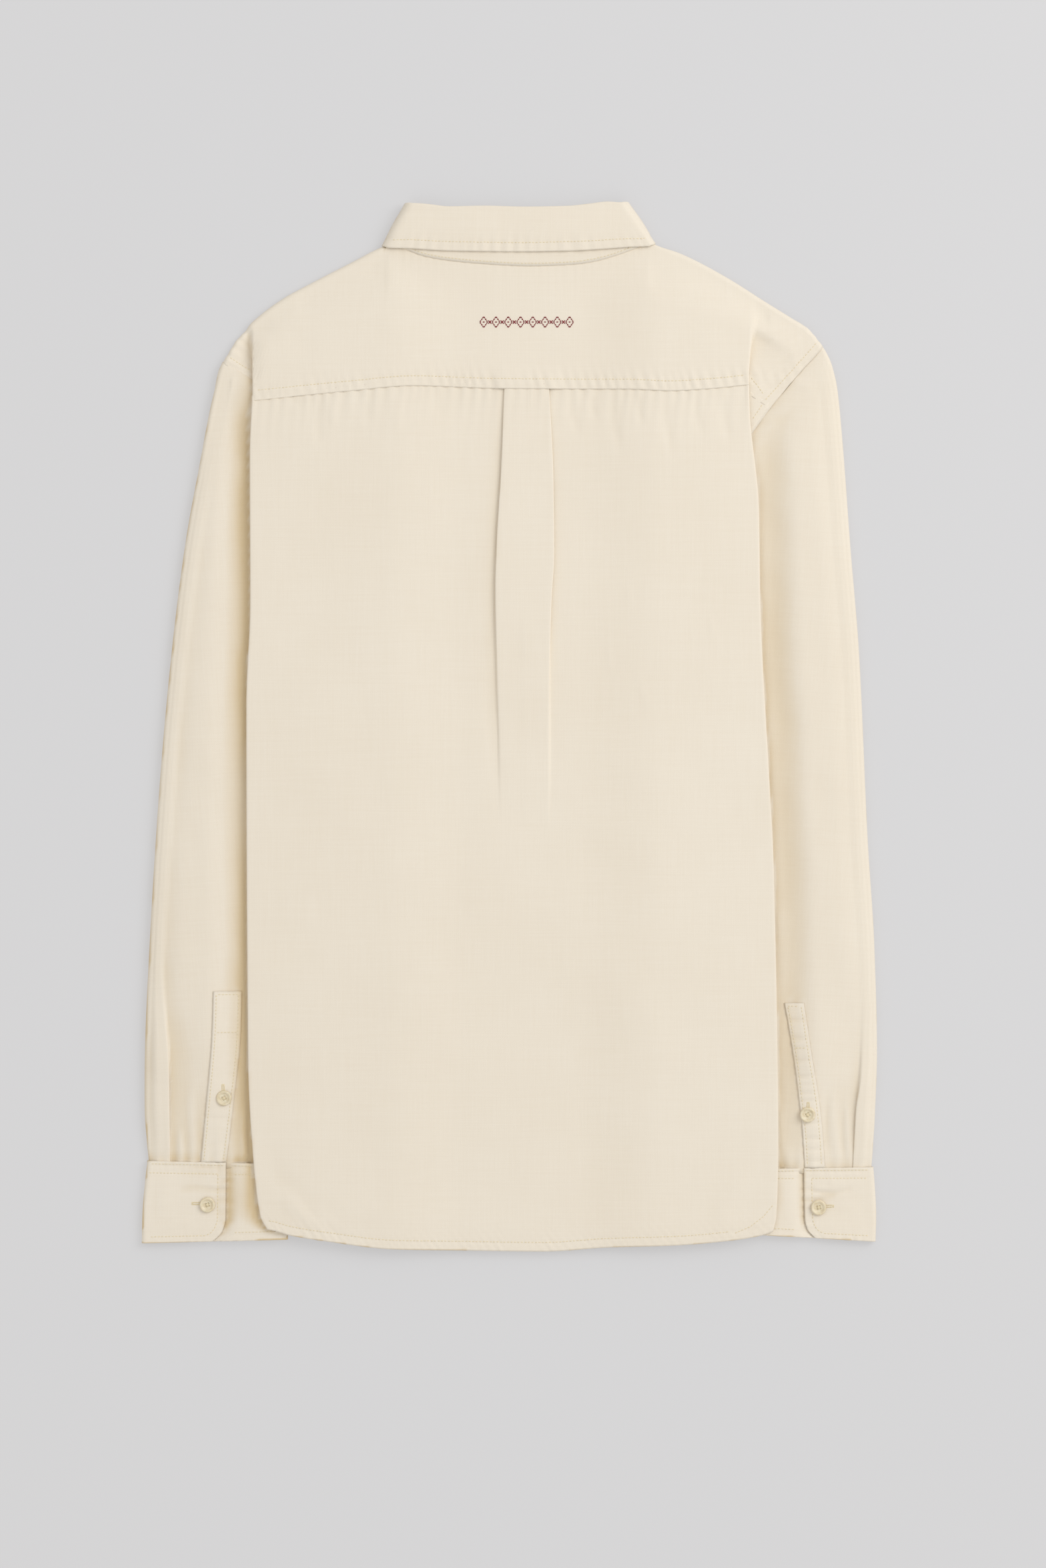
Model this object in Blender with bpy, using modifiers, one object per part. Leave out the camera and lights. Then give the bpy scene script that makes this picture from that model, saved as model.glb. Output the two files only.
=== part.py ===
# An oxford shirt laid flat with its back up. Its sides are turned in along straight folds,
# and its sleeves lie straight down with their inner halves between the turned sides.
# The origin is on the floor under the middle of the lay, +X to the right and +Y to the collar.
# Sizes are in millimetres, and "out" is a distance from the middle towards either sleeve.

import math
from collections import namedtuple

import bmesh
import bpy
import numpy as np

MM = 0.001
LEFT, RIGHT = -1, 1

# Cloth and seams
WALL = 1.1  # one layer of cloth
STIFF_WALL = 1.3  # cuffs and collar, which are doubled
STRIP_WALL = 1.0  # sleeve plackets
SEAM_GAP = 0.3
STRIP_GAP = 0.5  # below the sleeve placket strips
FOLD_RADIUS = 0.85
SLEEVE_PLEAT_RADIUS = 0.7
ARC_STEPS = 4
SEAM_TURN = 6.0  # the felled edge of the side seams
LEAST_DEPTH = 1.5

# The garment's own centre line lies a little right of the middle of the lay
SHIRT_CENTRE = 10.8

# Heights of the layers above the floor, at the middle of each wall
FRONT_LEVEL = WALL / 2
LOWER_SLEEVE_LEVEL = 4.3
UPPER_SLEEVE_LEVEL = 6.8
BACK_LEVEL = 10.4
BACK_CENTRE_LEVEL = 6.6
SHOULDER_LEVEL = 6.9
COLLAR_REST_LEVEL = 2.75  # where the fronts lie on the collar's points
PLACKET_LEVEL = 3.35
RIGHT_FRONT_LEVEL = 4.75  # where the right front lies on the placket
SEAM_LEVELS = {"back": 6.2, "front": 4.75}  # the side seam's two lips
CUFF_LEVELS = {"bottom": 0.65, "underlap": 3.1, "overlap": 5.6}
TURNED_CUFF_LEVELS = {"bottom": 4.4, "underlap": 6.75}  # where the cuff lies under the torso
SLEEVE_LOFT = 1.2
YOKE_RISE = 3.2  # over the end of the box pleat

# Heights in the lay
UNDERARM = 54.0
SIDE_SEAM_HEM = -335.0
SLEEVE_FRONT_BAND = (250.0, 265.0)  # the lower sleeve layer rises onto the front over this
FRONT_HEM_SHORTER = 4.0
TORSO_SHADE = (12.0, 42.0)  # outside the fold the sleeve sinks to the floor over this band

FoldRow = namedtuple("FoldRow", "height out depth turn")
EdgeRow = namedtuple("EdgeRow", "height out")
LineRow = namedtuple("LineRow", "x y")

# Side folds of the back, a row for each height: where the cloth turns under, how far it goes
# in before it comes out again, and how many degrees it has turned.
BACK_FOLDS = {
    LEFT: [
        FoldRow(303, 191.8, 1.5, 0),
        FoldRow(290, 191.7, 2, 80),
        FoldRow(275, 191.6, 4, 160),
        FoldRow(262, 191.6, 10, 180),
        FoldRow(199, 193.7, 14, 180),
        FoldRow(94, 193.3, 14, 180),
        FoldRow(15, 196.2, 14, 180),
        FoldRow(-255, 194.8, 14, 180),
        FoldRow(-320, 191.3, 14, 180),
        FoldRow(-366, 185.8, 14, 180),
        FoldRow(-377, 179.8, 14, 180),
    ],
    RIGHT: [
        FoldRow(325, 180.0, 1.5, 0),
        FoldRow(300, 180.6, 1.5, 20),
        FoldRow(290, 180.4, 2, 80),
        FoldRow(275, 179.6, 4, 150),
        FoldRow(262, 178.8, 8, 180),
        FoldRow(237, 179.3, 14, 180),
        FoldRow(164, 186.2, 16, 180),
        FoldRow(94, 187.3, 16, 180),
        FoldRow(-43, 194.2, 16, 180),
        FoldRow(-102, 197.2, 16, 180),
        FoldRow(-320, 200.7, 16, 180),
        FoldRow(-366, 199.3, 16, 180),
        FoldRow(-377, 196.5, 16, 180),
    ],
}
# The fronts' folds lie just inside the back's, and start at the front yoke seam.
FRONT_FOLDS = {
    LEFT: [
        FoldRow(273, 168.0, 1.5, 0),
        FoldRow(260, 169.0, 1.5, 110),
        FoldRow(250, 171.0, 3, 180),
        FoldRow(215, 184.0, 14, 180),
        FoldRow(94, 190.8, 14, 180),
        FoldRow(-255, 192.3, 14, 180),
        FoldRow(-377, 180.8, 14, 180),
    ],
    RIGHT: [
        FoldRow(285, 176.5, 1.5, 0),
        FoldRow(256, 177.0, 1.5, 80),
        FoldRow(236, 178.0, 8, 180),
        FoldRow(94, 184.8, 16, 180),
        FoldRow(-43, 191.7, 16, 180),
        FoldRow(-320, 198.2, 16, 180),
        FoldRow(-377, 195.5, 16, 180),
    ],
}
# Armhole seams, a row for each height, from the shoulder point to the underarm. They run
# straight between these rows, and a sleeve has one column of points for each row.
ARMHOLES = {
    LEFT: [
        EdgeRow(274.1, 211.2),
        EdgeRow(259.2, 192.3),
        EdgeRow(241, 170.0),
        EdgeRow(200, 151.0),
        EdgeRow(150, 135.0),
        EdgeRow(100, 122.0),
        EdgeRow(UNDERARM, 115.5),
    ],
    RIGHT: [
        EdgeRow(281.0, 233.0),
        EdgeRow(260.5, 214.2),
        EdgeRow(237.3, 195.0),
        EdgeRow(205, 172.8),
        EdgeRow(150, 144.0),
        EdgeRow(100, 126.0),
        EdgeRow(UNDERARM, 115.5),
    ],
}
BACK_CORNERS = {LEFT: 241.0, RIGHT: 237.3}  # heights where yoke, back and sleeve meet
FRONT_CORNERS = {LEFT: 259.2, RIGHT: 260.5}
# Rows of the back and of the fronts whose edges lie on the armholes' own points
BACK_NODE_SHARES = [0, 0.07, 0.16, 0.245, 0.325, 1]
FRONT_NODE_SHARES = [0, 0.03, 0.1, 0.185, 0.27, 0.345, 1]

# Outer edges of the sleeves, from the shoulder point to the cuff's lower edge.
SLEEVE_OUTLINES = {
    LEFT: [
        EdgeRow(277.2, 213.6),
        EdgeRow(262, 218.8),
        EdgeRow(239, 224.3),
        EdgeRow(194, 232.3),
        EdgeRow(134, 242.8),
        EdgeRow(54, 252.8),
        EdgeRow(-46, 261.8),
        EdgeRow(-166, 269.3),
        EdgeRow(-246, 272.8),
        EdgeRow(-286, 273.3),
        EdgeRow(-326, 270.3),
    ],
    RIGHT: [
        EdgeRow(284.2, 236.2),
        EdgeRow(269, 241.8),
        EdgeRow(254, 245.3),
        EdgeRow(214, 249.3),
        EdgeRow(134, 255.3),
        EdgeRow(54, 261.8),
        EdgeRow(-86, 268.3),
        EdgeRow(-166, 273.3),
        EdgeRow(-246, 275.3),
        EdgeRow(-286, 274.3),
        EdgeRow(-330, 272.0),
    ],
}
CUFF_INNER = 166.0
CUFF_OUTLINES = {
    LEFT: [EdgeRow(-326, 271.0), EdgeRow(-346, 273.2), EdgeRow(-366, 274.7), EdgeRow(-387, 275.2)],
    RIGHT: [EdgeRow(-330, 272.5), EdgeRow(-346, 273.8), EdgeRow(-366, 274.7), EdgeRow(-387, 274.2)],
}
# Heights of each cuff's upper and lower edge, at its inner fold and at its outer fold.
CUFF_EDGES = {
    LEFT: {"top": (-328.0, -325.4), "bottom": (-384.3, -387.2)},
    RIGHT: {"top": (-331.8, -330.2), "bottom": (-379.6, -386.0)},
}
# Where the cuff's overlap ends, by the share of the way down it. The lower corner is round.
OverlapRow = namedtuple("OverlapRow", "share left right")
OVERLAPS = [
    OverlapRow(0.0, 212.0, 220.3),
    OverlapRow(0.72, 212.4, 221.0),
    OverlapRow(0.88, 215.0, 223.0),
    OverlapRow(1.0, 222.0, 229.0),
]
UNDERLAP_BELOW = 22.0  # how far the underlap goes beneath the overlap

# The pleat that each sleeve has at its cuff: the outer part is folded over the inner one.
SLEEVE_PLEATS = {
    LEFT: [
        FoldRow(-150, 262.0, 1.5, 0),
        FoldRow(-200, 259.0, 1.5, 20),
        FoldRow(-246, 254.8, 1.5, 110),
        FoldRow(-266, 254.4, 3, 180),
        FoldRow(-326, 254.0, 8, 180),
    ],
    RIGHT: [
        FoldRow(-190, 266.0, 1.5, 0),
        FoldRow(-240, 264.0, 1.5, 30),
        FoldRow(-262, 262.5, 1.5, 90),
        FoldRow(-284, 259.5, 3, 180),
        FoldRow(-330, 257.3, 7, 180),
    ],
}

# Sleeve placket strips, a row for each height: inner and outer edge.
StripRow = namedtuple("StripRow", "height inner outer")
SLEEVE_STRIPS = {
    LEFT: [
        StripRow(-198.5, 200.1, 221.1),
        StripRow(-228, 200.9, 221.9),
        StripRow(-288, 206.9, 227.0),
        StripRow(-326.4, 211.7, 230.8),
    ],
    RIGHT: [
        StripRow(-207.3, 205.8, 220.3),
        StripRow(-241, 208.8, 224.5),
        StripRow(-290, 214.8, 230.8),
        StripRow(-331.6, 220.3, 235.8),
    ],
}

# The box pleat below the yoke, a row for each height: both edges, and degrees turned.
PleatRow = namedtuple("PleatRow", "height left right depth turn")
BOX_PLEAT = [
    PleatRow(252, -3.3, 29.8, 9, 180),
    PleatRow(187, -5.8, 32.8, 7, 176),
    PleatRow(133, -9.2, 33.3, 3, 168),
    PleatRow(100, -10.2, 31.3, 1.5, 150),
    PleatRow(49, -9.2, 29.8, 1.5, 90),
    PleatRow(-6, -7.2, 29.3, 1.5, 40),
    PleatRow(-66, -6.0, 29.0, 1.5, 0),
]

YOKE_SEAM = [
    LineRow(-193, 242.8),
    LineRow(-118, 250.2),
    LineRow(-70, 254.1),
    LineRow(-4, 252.2),
    LineRow(88, 251.6),
    LineRow(120, 250.2),
    LineRow(150, 251.8),
    LineRow(179, 254.8),
]
HEM = [
    LineRow(-190, -376.0),
    LineRow(-180, -376.6),
    LineRow(-162, -381.2),
    LineRow(-137, -385.2),
    LineRow(-87, -391.2),
    LineRow(-36, -392.4),
    LineRow(26, -393.2),
    LineRow(76, -390.0),
    LineRow(126, -388.2),
    LineRow(163, -385.0),
    LineRow(188, -381.0),
    LineRow(200, -376.5),
]
# The back's neck seam, and the outline of each shoulder outside it.
NECK_BACK = [
    LineRow(-88, 361.5),
    LineRow(-60, 353.8),
    LineRow(-25, 346.8),
    LineRow(15, 343.8),
    LineRow(55, 346.4),
    LineRow(85, 353.6),
    LineRow(103, 361.0),
]
SHOULDER_OUTLINES = {
    LEFT: [
        LineRow(92, 363.5),
        LineRow(109, 352.3),
        LineRow(139, 336.8),
        LineRow(166, 322.0),
        LineRow(187, 306.8),
        LineRow(202, 291.8),
        LineRow(214, 276.8),
    ],
    RIGHT: [
        LineRow(105, 363.5),
        LineRow(133, 351.8),
        LineRow(161, 336.8),
        LineRow(185, 321.8),
        LineRow(209, 306.8),
        LineRow(221, 299.3),
        LineRow(236, 284.0),
    ],
}
SHOULDER_NORMALS = {LEFT: (0.58, 0.81), RIGHT: (0.53, 0.85)}
# The fronts' upper edge, out from the shirt's centre: neck curve, then the front yoke seam.
NECK_FRONT = [
    LineRow(-16, 273.0),
    LineRow(14, 273.0),
    LineRow(33, 280.5),
    LineRow(50, 290.5),
    LineRow(66, 303.5),
    LineRow(90, 331.0),
]

# Collar sections. The stand runs from neck to fold, and the leaf from the fold to its own
# edge. The front ones are out from the shirt's centre, and go from the centre to the side.
CollarFrontRow = namedtuple("CollarFrontRow", "neck neck_y fold fold_y edge edge_y")
COLLAR_FRONT = [
    CollarFrontRow(0, 273.0, 0, 302, 47, 226),
    CollarFrontRow(14, 273.0, 11, 303, 53, 233),
    CollarFrontRow(33, 280.5, 26, 312, 63, 250),
    CollarFrontRow(50, 290.5, 38, 323, 71, 268),
    CollarFrontRow(66, 303.5, 49, 337, 80, 290),
    CollarFrontRow(89, 331.0, 68, 361, 93, 325),
]
# The turn at each side, and the sections over the back, from the left to the right.
CollarBackRow = namedtuple("CollarBackRow", "neck_x neck_y fold_x fold_y edge_x edge_y")
COLLAR_TURNS = {
    LEFT: CollarBackRow(-86.8, 361.6, -67.9, 387.4, -91.0, 363.4),
    RIGHT: CollarBackRow(101.8, 361.4, 82.4, 386.0, 104.6, 363.4),
}
COLLAR_BACK = [
    CollarBackRow(-60, 354.3, -52, 388.6, -62, 360.0),
    CollarBackRow(-25, 347.3, -20, 387.2, -25, 356.6),
    CollarBackRow(15, 344.3, 10, 387.2, 10, 355.4),
    CollarBackRow(55, 346.9, 46, 388.2, 50, 357.0),
    CollarBackRow(84, 354.1, 70, 390.6, 84, 361.6),
]
# Levels of the stand at its neck and fold, and of the leaf's edge.
CollarLevels = namedtuple("CollarLevels", "neck fold edge")
COLLAR_BACK_LEVELS = CollarLevels(7.4, 9.2, 10.9)
COLLAR_FRONT_LEVELS = CollarLevels(3.25, 3.25, 0.65)
COLLAR_TURN_ANGLES = [-60, -30, 0, 30, 60]
LEAF_ROLL = 1.3  # radius of the rolled upper edge
STAND_SHORTER = 2.2  # the stand ends this far inside the roll
COLLAR_BOX = (100.0, 115.0, 205.0, 220.0)  # the fronts rise on the points inside this
STAND_OVERLAP = 12.0

# Buttons: a turned profile from the hollow at its centre over the rim to its flat back
BUTTON_STEPS = 14
BUTTON_PROFILE = [(0, 1.3), (3.3, 1.3), (4.2, 2.1), (5.6, 1.5), (5.6, 0.8), (4.2, 0), (0, 0)]
CUFF_BUTTONS = {LEFT: (225.8, -358.3), RIGHT: (231.3, -360.3)}
PLACKET_BUTTONS = {LEFT: (213.3, -278.3), RIGHT: (223.0, -290.8)}
FRONT_BUTTON_HEIGHTS = [236.0, 148.0, 60.0, -28.0, -116.0, -204.0]
COLLAR_BUTTON_HEIGHT = 287.5
FRONT_PLACKET_WIDTH = 34.0

# Each object has a material of its own, with one of these looks
Look = namedtuple("Look", "colour roughness")
BODY_LOOK = Look((0.80, 0.73, 0.61), 0.85)
SLEEVE_LOOK = Look((0.77, 0.69, 0.57), 0.85)
TRIM_LOOK = Look((0.80, 0.73, 0.61), 0.8)
BUTTON_LOOK = Look((0.79, 0.73, 0.58), 0.35)

COLLECTION_NAME = "oxford_shirt"
SIDE_NAMES = {LEFT: "left", RIGHT: "right"}


def clear_scene():
    for obj in list(bpy.data.objects):
        bpy.data.objects.remove(obj, do_unlink=True)


def make_collection():
    collection = bpy.data.collections.new(COLLECTION_NAME)
    bpy.context.scene.collection.children.link(collection)
    return collection


def make_material(name, look):
    material = bpy.data.materials.new(name)
    material.use_nodes = True
    shader = material.node_tree.nodes["Principled BSDF"]
    shader.inputs["Base Color"].default_value = (*look.colour, 1)
    shader.inputs["Roughness"].default_value = look.roughness
    shader.inputs["Metallic"].default_value = 0
    return material


def mix(start, end, share):
    return start + (end - start) * share


def smooth(start, end, value):
    """0 before start, 1 after end, and an even curve between them."""
    share = np.clip((value - start) / (end - start), 0, 1)
    return share * share * (3 - 2 * share)


def curve(keys, values, at):
    """A smooth curve through points, which turns only where they do."""
    keys = np.asarray(keys, float)
    values = np.asarray(values, float)
    if keys[0] > keys[-1]:
        keys = keys[::-1]
        values = values[::-1]
    gaps = np.diff(keys)
    slopes = np.diff(values) / gaps
    tangents = np.concatenate([slopes[:1], np.zeros(len(keys) - 2), slopes[-1:]])
    before = slopes[:-1]
    after = slopes[1:]
    same = before * after > 0
    tangents[1:-1][same] = (2 * before * after / np.where(same, before + after, 1))[same]
    at = np.clip(at, keys[0], keys[-1])
    i = np.clip(np.searchsorted(keys, at, side="right") - 1, 0, len(keys) - 2)
    t = (at - keys[i]) / gaps[i]
    return (
        values[i] * (1 + 2 * t) * (1 - t) ** 2
        + tangents[i] * gaps[i] * t * (1 - t) ** 2
        + values[i + 1] * t * t * (3 - 2 * t)
        + tangents[i + 1] * gaps[i] * t * t * (t - 1)
    )


def read(rows, column, at):
    """One column of a table at a height, or at an x where the table holds a line."""
    return curve([row[0] for row in rows], [getattr(row, column) for row in rows], at)


def knife_fold(turn, depth, radius):
    """A fold's path (out, rise): over its tip at out 0, back under it and out again."""
    angle = math.radians(turn)
    step = math.pi * radius / ARC_STEPS
    out = rise = heading = 0.0
    path = [(out, rise)]
    for bend in (1, -1):
        for _ in range(ARC_STEPS):
            middle = heading + bend * angle / ARC_STEPS / 2
            out += step * math.cos(middle)
            rise -= step * math.sin(middle)
            heading += bend * angle / ARC_STEPS
            path.append((out, rise))
        if bend == 1:
            out += depth * math.cos(heading)
            rise -= depth * math.sin(heading)
            path.append((out, rise))
    path = np.array(path)
    path[:, 0] -= path[ARC_STEPS // 2, 0]
    return path


def armhole_out(side, height):
    """Where the armhole seam lies at a height, and below it the side seam."""
    rows = ARMHOLES[side][::-1]
    return np.interp(height, [row.height for row in rows], [row.out for row in rows])


def even_share(side, corner, node_shares, share):
    """A row's share of the way down, moved so that its edge lies on the armhole's own point."""
    top = corner - SEAM_GAP
    nodes = [row.height for row in ARMHOLES[side] if row.height < top - 1]
    heights = np.array([top, *nodes, SIDE_SEAM_HEM])
    return float(np.interp(share, node_shares, (top - heights) / (top - SIDE_SEAM_HEM)))


def side_fold(folds, side, tip_height, edge_height):
    """The fold's path, its place and the edge that it ends at, for one height."""
    turn = float(read(folds, "turn", tip_height))
    tip = float(read(folds, "out", tip_height))
    edge = float(armhole_out(side, edge_height))
    turned = float(smooth(168, 180, turn))
    least = float(read(folds, "depth", tip_height))
    depth = mix(LEAST_DEPTH, max(least, tip - edge + SEAM_TURN), turned)
    return knife_fold(turn, depth, FOLD_RADIUS), tip, edge


def lower_level(side, out, height):
    """Middle of the lower sleeve layer: on the turned front, and on the floor outside it."""
    lift = smooth(*SLEEVE_FRONT_BAND[::-1], height)
    outside = smooth(*TORSO_SHADE, out - read(BACK_FOLDS[side], "out", height))
    return FRONT_LEVEL + (LOWER_SLEEVE_LEVEL - FRONT_LEVEL) * lift * (1 - outside)


def upper_level(side, out, height):
    """Middle of the upper sleeve layer, a little loftier outside the torso."""
    beyond = out - read(BACK_FOLDS[side], "out", height)
    within = read(SLEEVE_OUTLINES[side], "out", height) - out
    loft = SLEEVE_LOFT * smooth(8, 30, beyond) * smooth(0, 25, within)
    down = smooth(-240, -326, height) * smooth(2, 20, beyond)
    return UPPER_SLEEVE_LEVEL + loft - (1.2 + loft) * down


def collar_rise(x, y):
    """How much the fronts are lifted where they lie on the collar's points."""
    near = 1 - smooth(COLLAR_BOX[0], COLLAR_BOX[1], np.abs(x - SHIRT_CENTRE))
    return (COLLAR_REST_LEVEL - FRONT_LEVEL) * near * smooth(COLLAR_BOX[2], COLLAR_BOX[3], y)


def underarm_share(height):
    return smooth(UNDERARM + 26, UNDERARM, height)


def shell(name, grid, wall, look, collection, used=None):
    """A sheet through a grid of points, thickened to both sides. used masks its faces."""
    mesh = bpy.data.meshes.new(name)
    shape = bmesh.new()
    verts = {}

    def vert(r, c):
        if (r, c) not in verts:
            verts[r, c] = shape.verts.new(grid[r][c] * MM)
        return verts[r, c]

    for r in range(len(grid) - 1):
        for c in range(len(grid[0]) - 1):
            if used is None or used(r, c):
                shape.faces.new((vert(r, c), vert(r, c + 1), vert(r + 1, c + 1), vert(r + 1, c)))
    bmesh.ops.recalc_face_normals(shape, faces=shape.faces)
    shape.to_mesh(mesh)
    shape.free()
    mesh.shade_smooth()
    mesh.materials.append(make_material(name, look))
    obj = bpy.data.objects.new(name, mesh)
    collection.objects.link(obj)
    solid = obj.modifiers.new("Wall", "SOLIDIFY")
    solid.thickness = wall * MM
    solid.offset = 0
    solid.use_even_offset = True
    return obj


def torso_row(parts, share):
    """Joins a left and a right half into one row of points, from left to right."""
    halves = []
    for side in (LEFT, RIGHT):
        out, height, level = parts(side, share)
        halves.append(np.column_stack([side * out, height, level]))
    return np.vstack([halves[0][:0:-1], halves[1]])


def back_level(x):
    return mix(BACK_CENTRE_LEVEL, BACK_LEVEL, smooth(48, 92, np.abs(x - SHIRT_CENTRE)))


def flap_levels(levels, count, last):
    """Levels along the cloth outside a fold, from the fold's end to the armhole."""
    return mix(levels[-1], last, np.linspace(0, 1, count + 1)[1:])


def back_half(side, share):
    """Points of one half of the back, from the box pleat out to the armhole or side seam."""
    share = even_share(side, BACK_CORNERS[side], BACK_NODE_SHARES, share)
    seam_tip = float(read(YOKE_SEAM, "y", side * 200)) - SEAM_GAP
    hem_tip = float(read(HEM, "y", side * 200))
    tip_height = mix(seam_tip, hem_tip, share)
    edge_height = mix(BACK_CORNERS[side] - SEAM_GAP, SIDE_SEAM_HEM, share)
    fold, tip, edge = side_fold(BACK_FOLDS[side], side, tip_height, edge_height)
    pleat = knife_fold(
        float(read(BOX_PLEAT, "turn", tip_height)),
        float(read(BOX_PLEAT, "depth", tip_height)),
        FOLD_RADIUS,
    )
    edges = [float(read(BOX_PLEAT, name, tip_height)) for name in ("left", "right")]
    middle = side * sum(edges) / 2
    pleat_out = pleat[:, 0] + side * edges[0 if side == LEFT else 1]
    pleat_level = pleat[:, 1] - pleat[-1, 1] + BACK_CENTRE_LEVEL
    body_out = np.linspace(pleat_out[-1], tip + fold[0, 0], 7)[1:-1]
    fold_out = fold[:, 0] + tip
    flap_out = np.linspace(fold_out[-1], edge, 4)[1:]
    out = np.concatenate([[middle], pleat_out, body_out, fold_out, flap_out])
    fold_level = BACK_LEVEL + fold[:, 1]
    lip = mix(UPPER_SLEEVE_LEVEL, SEAM_LEVELS["back"], float(underarm_share(edge_height)))
    level = np.concatenate(
        [
            pleat_level[:1],
            pleat_level,
            back_level(side * body_out),
            fold_level,
            flap_levels(fold_level, len(flap_out), lip),
        ]
    )
    start = read(YOKE_SEAM, "y", side * out) - SEAM_GAP
    end = read(HEM, "y", side * out)
    turned = len(out) - len(flap_out) - ARC_STEPS - 1
    start[turned:] = seam_tip + 1
    end[turned:] = SIDE_SEAM_HEM - 2
    start[-3:] = mix(seam_tip + 1, BACK_CORNERS[side] - SEAM_GAP, np.array([1, 2, 3]) / 3)
    end[-1] = SIDE_SEAM_HEM
    return out, mix(start, end, share), level


BACK_SHARES = sorted(
    BACK_NODE_SHARES + [0.02, 0.04, 0.11, 0.2, 0.285, 0.38, 0.44, 0.51, 0.64, 0.8, 0.91, 0.97]
)


def make_back(collection):
    grid = [torso_row(back_half, share) for share in BACK_SHARES]
    return shell("back", grid, WALL, BODY_LOOK, collection)


def yoke_top(side, out):
    """Upper edge of the yoke's back: the neck seam, and outside it the start of the roll."""
    radius = (SHOULDER_LEVEL - FRONT_LEVEL) / 2
    inset = (radius + WALL / 2) / SHOULDER_NORMALS[side][1]
    neck = read(NECK_BACK, "y", side * out) - SEAM_GAP
    shoulder = read(SHOULDER_OUTLINES[side], "y", out) - inset
    neck_end = SHOULDER_OUTLINES[side][0].x
    return np.where(out < neck_end, neck, shoulder)


def yoke_half(side, share):
    """Points of one half of the yoke's back, from the centre out to the armhole."""
    centre = side * SHIRT_CENTRE
    seam_tip = float(read(YOKE_SEAM, "y", side * 200))
    top_tip = float(yoke_top(side, np.array([BACK_FOLDS[side][0].out]))[0])
    tip_height = mix(seam_tip, top_tip, share)
    edge_height = mix(BACK_CORNERS[side], ARMHOLES[side][0].height, share)
    fold, tip, edge = side_fold(BACK_FOLDS[side], side, tip_height, edge_height)
    neck_end = SHOULDER_OUTLINES[side][0].x
    body_out = np.concatenate(
        [
            np.linspace(centre, neck_end - 2.5, 6),
            np.linspace(neck_end + 0.5, tip + fold[0, 0], 5)[:-1],
        ]
    )
    fold_out = fold[:, 0] + tip
    flap_out = np.linspace(fold_out[-1], edge, 4)[1:]
    out = np.concatenate([body_out, fold_out, flap_out])
    top = float(smooth(0.6, 1, share))
    body_level = mix(back_level(side * body_out), SHOULDER_LEVEL, top)
    near_pleat = np.exp(-(((side * body_out - SHIRT_CENTRE) / 45) ** 2))
    body_level += YOKE_RISE * near_pleat * float(smooth(0.7, 0, share))
    fold_level = mix(BACK_LEVEL, SHOULDER_LEVEL, top) + fold[:, 1]
    last = mix(UPPER_SLEEVE_LEVEL, SHOULDER_LEVEL, top)
    level = np.concatenate([body_level, fold_level, flap_levels(fold_level, 3, last)])
    start = read(YOKE_SEAM, "y", side * out)
    start[-len(flap_out) - ARC_STEPS - 1 :] = seam_tip + 1
    start[-3:] = mix(seam_tip + 1, BACK_CORNERS[side], np.array([1, 2, 3]) / 3)
    end = yoke_top(side, out)
    end[-1] = ARMHOLES[side][0].height
    return out, mix(start, end, share), level


YOKE_SHARES = [0, 0.2, 0.38, 0.54, 0.78, 1]
ROLL_ANGLES = [60, 120, 180]
YOKE_FRONT_SHARES = [0.5, 1]
YOKE_NECK_POINTS = 6


def front_seam(side, out):
    """Height of the seam between the yoke and a front, out from the middle of the lay."""
    corner = (float(armhole_out(side, FRONT_CORNERS[side])), FRONT_CORNERS[side])
    neck = (NECK_FRONT[-1].x + side * SHIRT_CENTRE, NECK_FRONT[-1].y)
    return np.interp(out, [neck[0], corner[0]], [neck[1], corner[1]])


def make_yoke(collection):
    grid = [torso_row(yoke_half, share) for share in YOKE_SHARES]
    top = grid[-1]
    sides = np.where(top[:, 0] < SHIRT_CENTRE, LEFT, RIGHT)
    normals = np.array([SHOULDER_NORMALS[side] for side in sides])
    floor = FRONT_LEVEL + collar_rise(top[:, 0], top[:, 1])
    radius = (top[:, 2] - floor) / 2
    for angle in np.radians(ROLL_ANGLES):
        row = top.copy()
        row[:, 0] += sides * normals[:, 0] * radius * math.sin(angle)
        row[:, 1] += normals[:, 1] * radius * math.sin(angle)
        row[:, 2] = floor + radius * (1 + math.cos(angle))
        grid.append(row)
    for share in YOKE_FRONT_SHARES:
        row = top.copy()
        for side in (LEFT, RIGHT):
            mine = sides == side
            out = side * top[mine, 0]
            edge = float(armhole_out(side, FRONT_CORNERS[side]))
            squeezed = np.where(out > 140, 140 + (out - 140) * (edge - 140) / (out.max() - 140), out)
            out = mix(out, squeezed, share)
            row[mine, 0] = side * out
            row[mine, 1] = mix(top[mine, 1], front_seam(side, out) + SEAM_GAP, share)
        row[:, 2] = FRONT_LEVEL + collar_rise(row[:, 0], row[:, 1])
        grid.append(row)
    middle = len(top) // 2
    back_rows = len(YOKE_SHARES) - 1

    def used(r, c):
        outside = min(abs(c - middle), abs(c + 1 - middle)) >= YOKE_NECK_POINTS
        return r < back_rows or outside

    return shell("yoke", grid, WALL, BODY_LOOK, collection, used)


def front_level(side, out, x, y):
    """Middle of a front: on the floor, on the collar's points and round the placket."""
    inner = PLACKET_LEVEL if side == LEFT else RIGHT_FRONT_LEVEL
    near = 1 - smooth(20 if side == LEFT else 22, 48, out)
    base = FRONT_LEVEL + collar_rise(x, y)
    return np.maximum(base, mix(FRONT_LEVEL, inner, near))


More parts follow.
